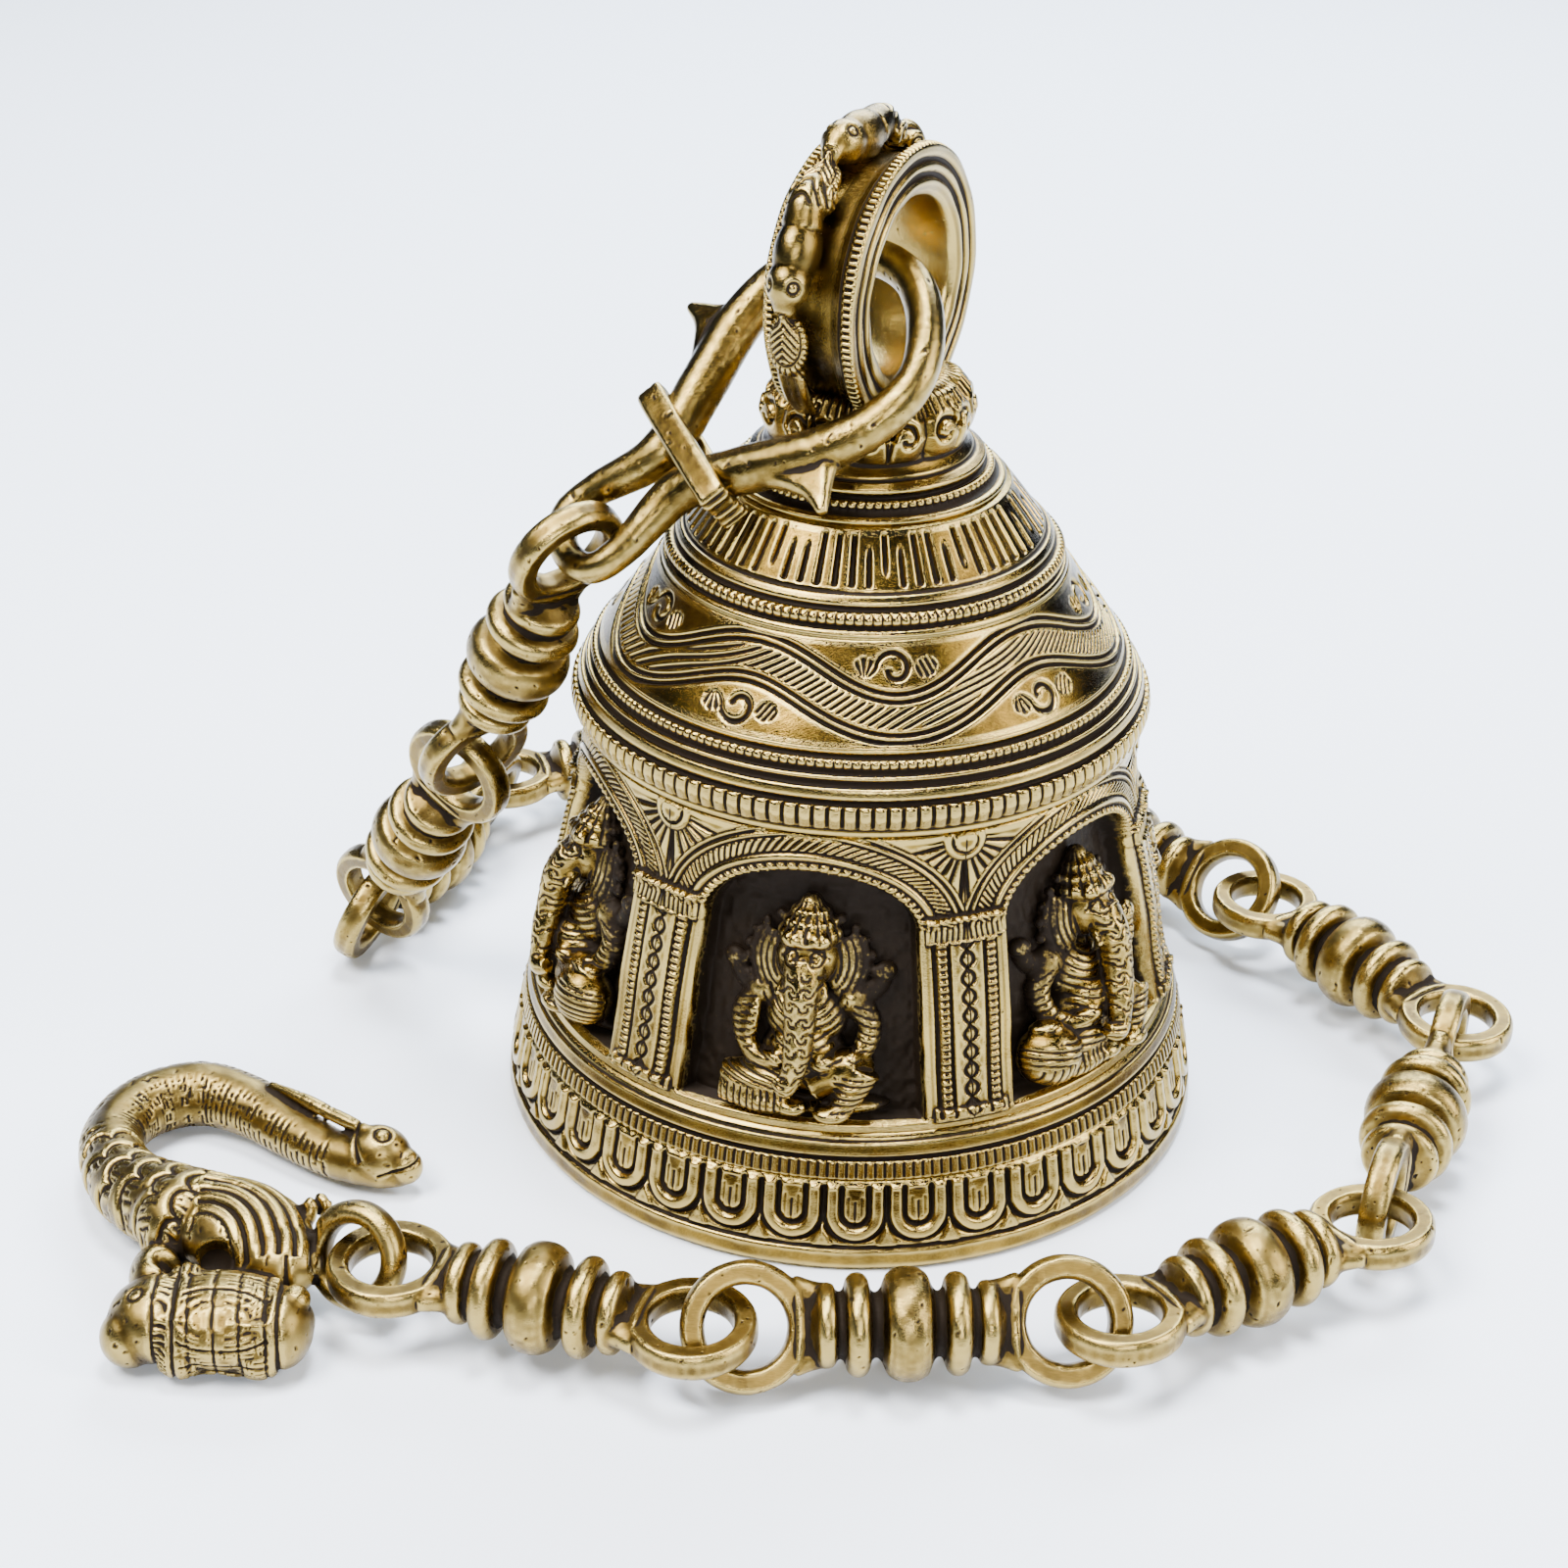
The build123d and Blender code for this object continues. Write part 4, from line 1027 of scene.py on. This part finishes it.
def niche_figures():
    """Six figures set on the niche sills, leaning back with the wall."""
    shapes = {}
    for pose in ("front", "right", "left"):
        shapes[pose] = seated_figure(f"figure_{pose}", pose)
    lean = atan2(niche_radius(26) - niche_radius(60), 34.0)
    for i, pose in enumerate(("front", "right", "front", "left", "right", "left")):
        mesh = shapes[pose].copy()
        facing = radians(FIRST_NICHE + NICHE_STEP * i)
        place = Matrix.Rotation(facing, 4, "Z") @ Matrix.Translation((niche_radius(26) - 0.4, 0, 25.2))
        place = place @ Matrix.Rotation(-lean, 4, "Y") @ FACING_OUT
        points = vertex_array(mesh)
        # painted shade: each figure darkens towards the niche wall behind it
        store_layer(mesh, "painted_shade", 0.85 * smooth_step(points[:, 1], 5.4, 1.0))
        points[:, 1] -= points[:, 0] ** 2 / (2 * 50.0)
        set_points(mesh, points)
        placed(mesh, place)
        name = f"niche_figure_{i + 1}"
        add_piece(name, mesh, BELL_BRASS, "bell", "bell_brass", "bell_shell", (8, 50))
    for mesh in shapes.values():
        bpy.data.meshes.remove(mesh)


# ------------------------------------------------------------------ chain
# each link's turn about its own length, in degrees, from the shackle to the hook
LINK_ROLLS = (10, 68, 112, 0, -58, 52, 0, 90, 6, -55, 0)
# middle, half length and radius of each bead
LINK_BEADS = ((-12.8, 1.75, 6.8), (-7.9, 2.35, 8.3), (0.0, 4.4, 9.15), (7.9, 2.35, 8.3), (12.8, 1.75, 6.8))
EYE_STARTS_AT = 17.5
EYE_HALF_THICKNESS = 2.35


def joint_places():
    """Pins of the chain in order, from the shackle's eye to the hook's, in millimetres."""
    places = {joint["name"]: Vector(joint["pos_m"]) / MM for joint in frame["joints"]}
    return [places[f"link_{i:02d}_turn"] for i in range(1, 12)] + [places["hook_turn"]]


def link_template():
    """One link along X, its eyes in the XY plane: five beads on a core between flared roots."""
    lump = Lump()
    core = 5.2
    outline = [(-15.4, 3.5)]
    for middle, half, top in LINK_BEADS:
        for k in range(9):
            t = -1 + k / 4
            swell = (1 - abs(t) ** 2.4) ** 0.55 if abs(t) < 1 else 0.0
            outline.append((middle + half * t, core + (top - core) * swell))
    outline.append((15.4, 3.5))
    lump.turned(outline, sides=96)
    for side in (-1, 1):
        centre = side * EYE_SPACING / 2
        middle = (EYE_OUTER + EYE_INNER) / 2 + 0.05
        strap = (EYE_OUTER - EYE_INNER) / 2 + 0.05
        around = [2 * pi * k / 12 for k in range(12)]
        path = [(centre + middle * cos(a), middle * sin(a)) for a in around]
        for lift in (-0.75, 0.0, 0.75):
            lump.tube([(x, y, lift) for x, y in path], [strap] * 12, closed=True, sides=20, steps=8)
        for k in (-1, 0, 1):
            lump.tube(
                [(side * 12.6, 3.4 * k, 0), (side * 15.8, 4.6 * k, 0), (side * 18.6, 6.2 * k, 0)],
                [3.2, 2.7, 2.1], flat=0.86,
            )
        lump.egg((side * 14.6, 0, 0), (2.6, 5.8, 3.2))
    mesh = lump.fused("link_template", 0.40, 2)
    points = vertex_array(mesh)
    flat_eye = np.abs(points[:, 0]) > EYE_STARTS_AT
    points[flat_eye, 2] = np.clip(points[flat_eye, 2], -EYE_HALF_THICKNESS, EYE_HALF_THICKNESS)
    hole = np.hypot(np.abs(points[:, 0]) - EYE_SPACING / 2, points[:, 1])
    inside = (hole < EYE_INNER) & flat_eye
    scale = np.where(inside, EYE_INNER / np.maximum(hole, 1e-6), 1.0)
    middle_x = np.sign(points[:, 0]) * EYE_SPACING / 2
    points[:, 0] = middle_x + (points[:, 0] - middle_x) * scale
    points[:, 1] = points[:, 1] * scale
    set_points(mesh, points)
    return mesh


def weathered(mesh, seed, dents=0.10, grit=0.03):
    """Hand-cast unevenness: shallow dents and a fine grain, pressed inwards only."""
    points, normals = vertex_array(mesh), normal_array(mesh)
    wide = lattice_noise(points, 4.5, seed)
    fine = lattice_noise(points, 1.1, seed + 1)
    hole = smooth_step(lattice_noise(points, 0.9, seed + 2), 0.72, 0.92)
    press(mesh, points, normals, -dents * np.maximum(wide, 0) + grit * (fine - 1.0) - 0.20 * hole)


def chain():
    pins = joint_places()
    template = link_template()
    for i, roll in enumerate(LINK_ROLLS):
        node = f"chain_link_{i + 1:02d}"
        low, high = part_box(node)
        centre = (Vector(low) + Vector(high)) / 2 / MM
        along = (pins[i + 1] - pins[i]).normalized()
        level = Vector((along.y, -along.x, 0)).normalized()
        upward = level.cross(along)
        normal = upward * cos(radians(roll)) + level * sin(radians(roll))
        across = normal.cross(along)
        place = Matrix((along, across, normal)).transposed().to_4x4()
        mesh = template.copy()
        weathered(mesh, 40 + 7 * i)
        placed(mesh, Matrix.Translation(centre) @ place)
        rest_on_floor(mesh)
        name = f"link_{i + 1:02d}_casting"
        add_piece(name, mesh, CHAIN_BRASS, f"link_{i + 1:02d}", "chain_brass", node, (8, 44))
    bpy.data.meshes.remove(template)


# ------------------------------------------------------------------ shackle
BOW_CENTRE = Vector((6.4, -4.2, 153.2))
SHACKLE_EYE = 6.6
BAND_PLACE = 45.5
ARM = [(0, 0), (2.4, 9.0), (8.5, 16.6), (17.5, 18.6), (27.5, 16.2), (38.5, 10.2), (50.0, 4.6)]
ROD_RADII = [3.15, 3.15, 3.2, 3.5, 4.0, 4.1, 3.8, 2.8, 2.65, 2.6]
THORN_FOOT = 24.5


def shackle_place():
    eye = joint_places()[0]
    reach = (eye - BOW_CENTRE).length
    along = (eye - BOW_CENTRE).normalized()
    across = Vector((0.41, -0.84, -0.36))
    across = (across - along * across.dot(along)).normalized()
    matrix = Matrix((along, across, along.cross(across))).transposed().to_4x4()
    return Matrix.Translation(BOW_CENTRE) @ matrix, reach


def shackle():
    """Bent rod with a thorn on each arm, pinched to an eye, and the band that clasps the arms."""
    place, reach = shackle_place()
    eye = reach - SHACKLE_EYE
    lump = Lump()
    half = ARM + [(eye - 2.0, 7.0), (eye + 4.4, 5.9), (reach, 0)]
    loop = [(x, y, 0) for x, y in half] + [(x, -y, 0) for x, y in half[-2:0:-1]]
    lump.tube(loop, ROD_RADII + ROD_RADII[-2:0:-1], closed=True, sides=28, steps=10)
    for side in (-1, 1):
        for k in range(7):
            foot = THORN_FOOT + 2.2 * k
            width = 17.4 - 0.36 * (foot - THORN_FOOT)
            waist = (30.6 + 0.28 * (foot - 31), 20.5 * side, 0)
            lump.tube([(foot, (width - 1.0) * side, 0), waist, (32.6, 26.6 * side, 0)], [2.5, 1.75, 0.85])
    mesh = lump.fused("shackle_rod", 0.42, 3)
    weathered(mesh, 90)
    placed(mesh, place)
    add_piece("shackle_rod", mesh, RING_BRASS, "shackle", "shackle_brass", "shackle_fork", (8, 44))

    band = Lump()
    round_end, lift = 9.6, 4.7
    path = []
    for side in (1, -1):
        for a in (-62, -22, 22, 62):
            out = round_end + 3.4 * cos(radians(a))
            path.append((BAND_PLACE, side * out, lift * sin(radians(a)) * side))
    for shift in (-1.5, -0.75, 0.0, 0.75, 1.5):
        band.tube([(x + shift, y, z) for x, y, z in path], [1.05] * 8, closed=True, sides=14, steps=6)
    mesh = band.fused("shackle_clasp", 0.34, 2)
    weathered(mesh, 97)
    placed(mesh, place)
    clasp = (RING_BRASS, "shackle", "shackle_brass", "shackle_band", (8, 40))
    add_piece("shackle_clasp", mesh, *clasp)


# ------------------------------------------------------------------ hook
HOOK_HEADING = 152.0
HOOK_EYE_ROLL = -66.0
HOOK_EYE_OUTER = 8.4
HOOK_EYE_INNER = 5.2
NECK = [
    (-98.0, -67.8, 7.2), (-106.5, -63.6, 8.0), (-115.0, -59.6, 7.7), (-122.8, -53.4, 6.8),
    (-127.8, -45.2, 6.0), (-129.8, -35.8, 5.5), (-125.8, -27.4, 5.7), (-117.1, -23.8, 5.9),
    (-107.8, -26.8, 5.5), (-99.2, -33.2, 4.8), (-91.6, -38.6, 4.3), (-85.6, -41.0, 4.5),
    (-81.0, -42.4, 3.6), (-77.4, -43.4, 1.6),
]

# lumps of the hook as (centre, radii, turn in degrees)
BIRD_HEAD = (
    ((-82.6, -41.2, 6.2), (5.9, 4.9, 5.4), (0, 0, -14)),
    ((-78.2, -43.0, 5.2), (3.6, 2.9, 3.6), (0, 0, -16)),
)
CREST = [(-84.0, -40.6, 11.0), (-88.6, -37.6, 10.6), (-96.0, -32.6, 11.0), (-103.6, -27.4, 11.2)]
WING = (
    ((-102.0, -67.0, 9.4), (14.4, 9.4, 7.4), (0, 0, -32)),
    ((-112.0, -63.6, 8.6), (8.6, 8.6, 8.0), (0, 0, 10)),
    ((-95.0, -73.2, 8.8), (8.6, 6.4, 5.8), (0, 0, -40)),
)
TAIL = [(-93.0, -66.0, 10.4), (-88.8, -64.4, 12.4), (-87.8, -65.6, 13.4)]
TAIL_FAN = ((-89.4, -64.4, 12.4), (2.6, 1.6, 2.4), (0, 0, 30))
ELEPHANT_BODY = ((-101.4, -87.6, 7.2), (15.2, 9.2, 7.0), (0, 0, -5))
SADDLE = ((-100.8, -88.0, 6.6), (17.0, 12.6, 10.8), (0, 0, -5))
ELEPHANT_PARTS = (
    ((-111.4, -87.4, 7.0), (8.2, 7.6, 6.8), (0, 0, -8)),
    ((-115.6, -90.2, 5.6), (4.8, 4.6, 5.2)),
    ((-107.4, -82.8, 10.8), (3.2, 3.6, 3.0)),
    ((-107.0, -93.2, 4.8), (4.4, 3.4, 4.4)),
    ((-94.6, -93.2, 4.8), (4.4, 3.4, 4.4)),
    ((-91.4, -89.6, 7.0), (5.0, 6.2, 6.4), (0, 0, -5)),
    ((-89.4, -87.4, 11.2), (2.6, 2.8, 2.4)),
    ((-103.0, -79.6, 5.6), (7.4, 6.2, 4.6)),
    ((-114.0, -77.0, 6.8), (4.4, 6.4, 5.2), (0, 0, 10)),
)


def neck_path():
    """The neck's centre line, lying on the floor with a little to spare."""
    return [(x, y, max(r, 2.6) + 0.3) for x, y, r in NECK]


def neck_coordinates(points):
    """For each point: distance along the neck's centre line, and angle round it from the top."""
    smooth, _ = smooth_path(neck_path(), [1.0] * len(NECK), 6)
    line = np.array([tuple(p) for p in smooth])
    run = np.concatenate([[0], np.cumsum(np.linalg.norm(np.diff(line, axis=0), axis=1))])
    best = np.full(len(points), 1e9)
    along, side, high = np.zeros(len(points)), np.zeros(len(points)), np.zeros(len(points))
    for k in range(len(line) - 1):
        step = line[k + 1] - line[k]
        length = np.linalg.norm(step)
        t = np.clip((points - line[k]) @ step / length ** 2, 0, 1)
        away = points - (line[k] + t[:, None] * step)
        gap = np.linalg.norm(away, axis=1)
        closer = gap < best
        best[closer] = gap[closer]
        along[closer] = run[k] + t[closer] * length
        across = np.array([step[1], -step[0], 0]) / length
        side[closer] = (away @ across)[closer]
        high[closer] = away[closer, 2]
    return along, side, high, run[-1]


def hook():
    """Bird's-neck hook lying on its side, with wing and fan tail, and an elephant beside its breast."""
    lump = Lump()
    lump.tube(neck_path(), [r for _, _, r in NECK], sides=36, steps=8)
    for part in BIRD_HEAD:
        lump.egg(*part)
    lump.tube(CREST, [0.7, 1.3, 1.3, 0.6])
    for part in WING:
        lump.egg(*part)
    lump.tube(TAIL, [2.2, 1.7, 1.1])
    lump.egg(*TAIL_FAN)
    lump.egg(*ELEPHANT_BODY)
    lump.block(*SADDLE)
    for part in ELEPHANT_PARTS:
        lump.egg(*part)
    # eye for the chain
    pin = joint_places()[-1]
    outer, inner = HOOK_EYE_OUTER, HOOK_EYE_INNER
    heading = Vector((cos(radians(HOOK_HEADING)), sin(radians(HOOK_HEADING)), 0))
    level = Vector((heading.y, -heading.x, 0))
    normal = Vector((0, 0, 1)) * cos(radians(HOOK_EYE_ROLL)) + level * sin(radians(HOOK_EYE_ROLL))
    centre = pin + heading * (outer + inner) / 2
    across = normal.cross(heading)
    middle, strap = (outer + inner) / 2 + 0.4, (outer - inner) / 2 + 0.4
    for lift in (-0.55, 0.0, 0.55):
        ring = []
        for k in range(12):
            a = 2 * pi * k / 12
            ring.append(centre + heading * middle * cos(a) + across * middle * sin(a) + normal * lift)
        lump.tube(ring, [strap * 0.98] * 12, closed=True, sides=18, steps=8)
    start = centre + heading * (outer - 1.0)
    lump.tube([start, (-91.5, -71.6, 8.6), (-96.0, -70.0, 8.8)], [2.5, 3.8, 5.2])
    mesh = lump.fused("bird_hook", 0.40, 3)
    chase_hook(mesh)
    rest_on_floor(mesh)
    add_piece("bird_hook", mesh, HOOK_BRASS, "hook", "hook_brass", "hanging_hook", (8, 50))


def chase_hook(mesh):
    """Chiselled lines on the hook: neck ticks, breast feathers, wing arcs, saddle cloth."""
    points, normals = vertex_array(mesh), normal_array(mesh)
    x, y, z = points.T
    along, side, high, total = neck_coordinates(points)
    pits = smooth_step(lattice_noise(points, 0.9, 63), 0.62, 0.85)
    cut = -0.10 * np.maximum(lattice_noise(points, 4.0, 61), 0) - 0.16 * pits
    on_neck = (along > 40) & (along < total - 13) & (np.hypot(side, high) < 8.5)
    flank = smooth_step(np.abs(side), 1.2, 3.2)
    cut += on_neck * flank * hatch(along, 1.25, 0.4, 0.26) * (lattice_noise(points, 1.2, 64) > -0.2)
    breast = (y > -72.0) & (x < -108.5) & (y < -42.0)
    row = np.floor(along / 5.2)
    scale_x = repeat(side + 2.7 * np.mod(row, 2), 5.4)
    scale_y = along - 5.2 * row
    feather = np.hypot(scale_x, scale_y - 0.6)
    cut += breast * groove(feather - 2.6, 0.8, 0.85) * (scale_y > 0.2)
    cut += breast * hatch(scale_x, 0.95, 0.4, 0.3) * (feather < 2.1) * (feather > 0.8)
    wing = np.hypot(x + 110.0, y + 78.5)
    on_wing = (x > -110.5) & (x < -87.0) & (y > -78.0) & (y < -56.0) & (z > 5.5) & ~breast & (wing > 8.5)
    cut += on_wing * hatch(wing, 2.75, 0.95, 1.0)
    head = np.hypot(x + 81.6, y + 42.2)
    cut += (groove(head - 1.5, 0.5, 0.45) + 0.35 * (head < 0.8)) * (z > 8.5)
    nape = groove(np.hypot(x + 81.0, y + 42.0) - 5.6, 0.6, 0.6) * (x < -82.0) * (z > 7.0)
    beak = groove(z - 5.6 - 0.35 * (x + 80.0), 0.5, 0.5) * (x > -82.5) * (y > -50)
    cut += nape + beak
    cloth = (x > -107.0) & (x < -92.5) & (y < -80.6)
    down = y * 0.72 - z
    tile_a, tile_b = 4.1, 3.7
    cut += cloth * (hatch(x + 0.1 * y, tile_a, 0.42, 0.34) + hatch(down, tile_b, 0.42, 0.34))
    column = np.floor((x + 0.1 * y + tile_a / 2) / tile_a)
    even = np.mod(column + np.floor((down + tile_b / 2) / tile_b), 2) == 0
    cut += cloth * hatch(x, 0.8, 0.36, 0.26) * even
    cut += cloth * hatch(down, 0.8, 0.36, 0.22) * ~even
    for line in (-108.2, -91.6):
        cut += (y < -78.0) * groove(x + 0.06 * (y + 88) - line, 0.7, 0.6)
    band = (x < -108.8) & (x > -111.0) & (y < -79.0)
    cut += band * hatch(down, 0.85, 0.4, 0.35)
    cut += (y < -79.0) * (x < -104) * groove(x + 0.06 * (y + 88) + 111.4, 0.5, 0.5)
    eye = np.hypot(x + 114.4, y + 88.8)
    cut += groove(eye - 1.2, 0.45, 0.4) * (z > 8.0) * (y < -84)
    gap = smooth_step(np.hypot((x + 107.6) / 6.6, (y + 77.6) / 2.6), 1.25, 0.55)
    cut += -2.2 * gap * (z > 6.0)
    press(mesh, points, normals, cut)


def inner_fittings():
    """Clapper, its eye bolt, nut and washer keep their designed shape and take a dull brass."""
    for node in ("clapper_rod", "clapper_ball", "eye_bolt", "crown_washer", "crown_nut"):
        mesh = frame["nodes"][node].data
        mesh.materials.clear()
        mesh.materials.append(INNER_BRASS)


camera_and_stage()
bell_tiers()
crown()
niche_figures()
chain()
shackle()
hook()
inner_fittings()
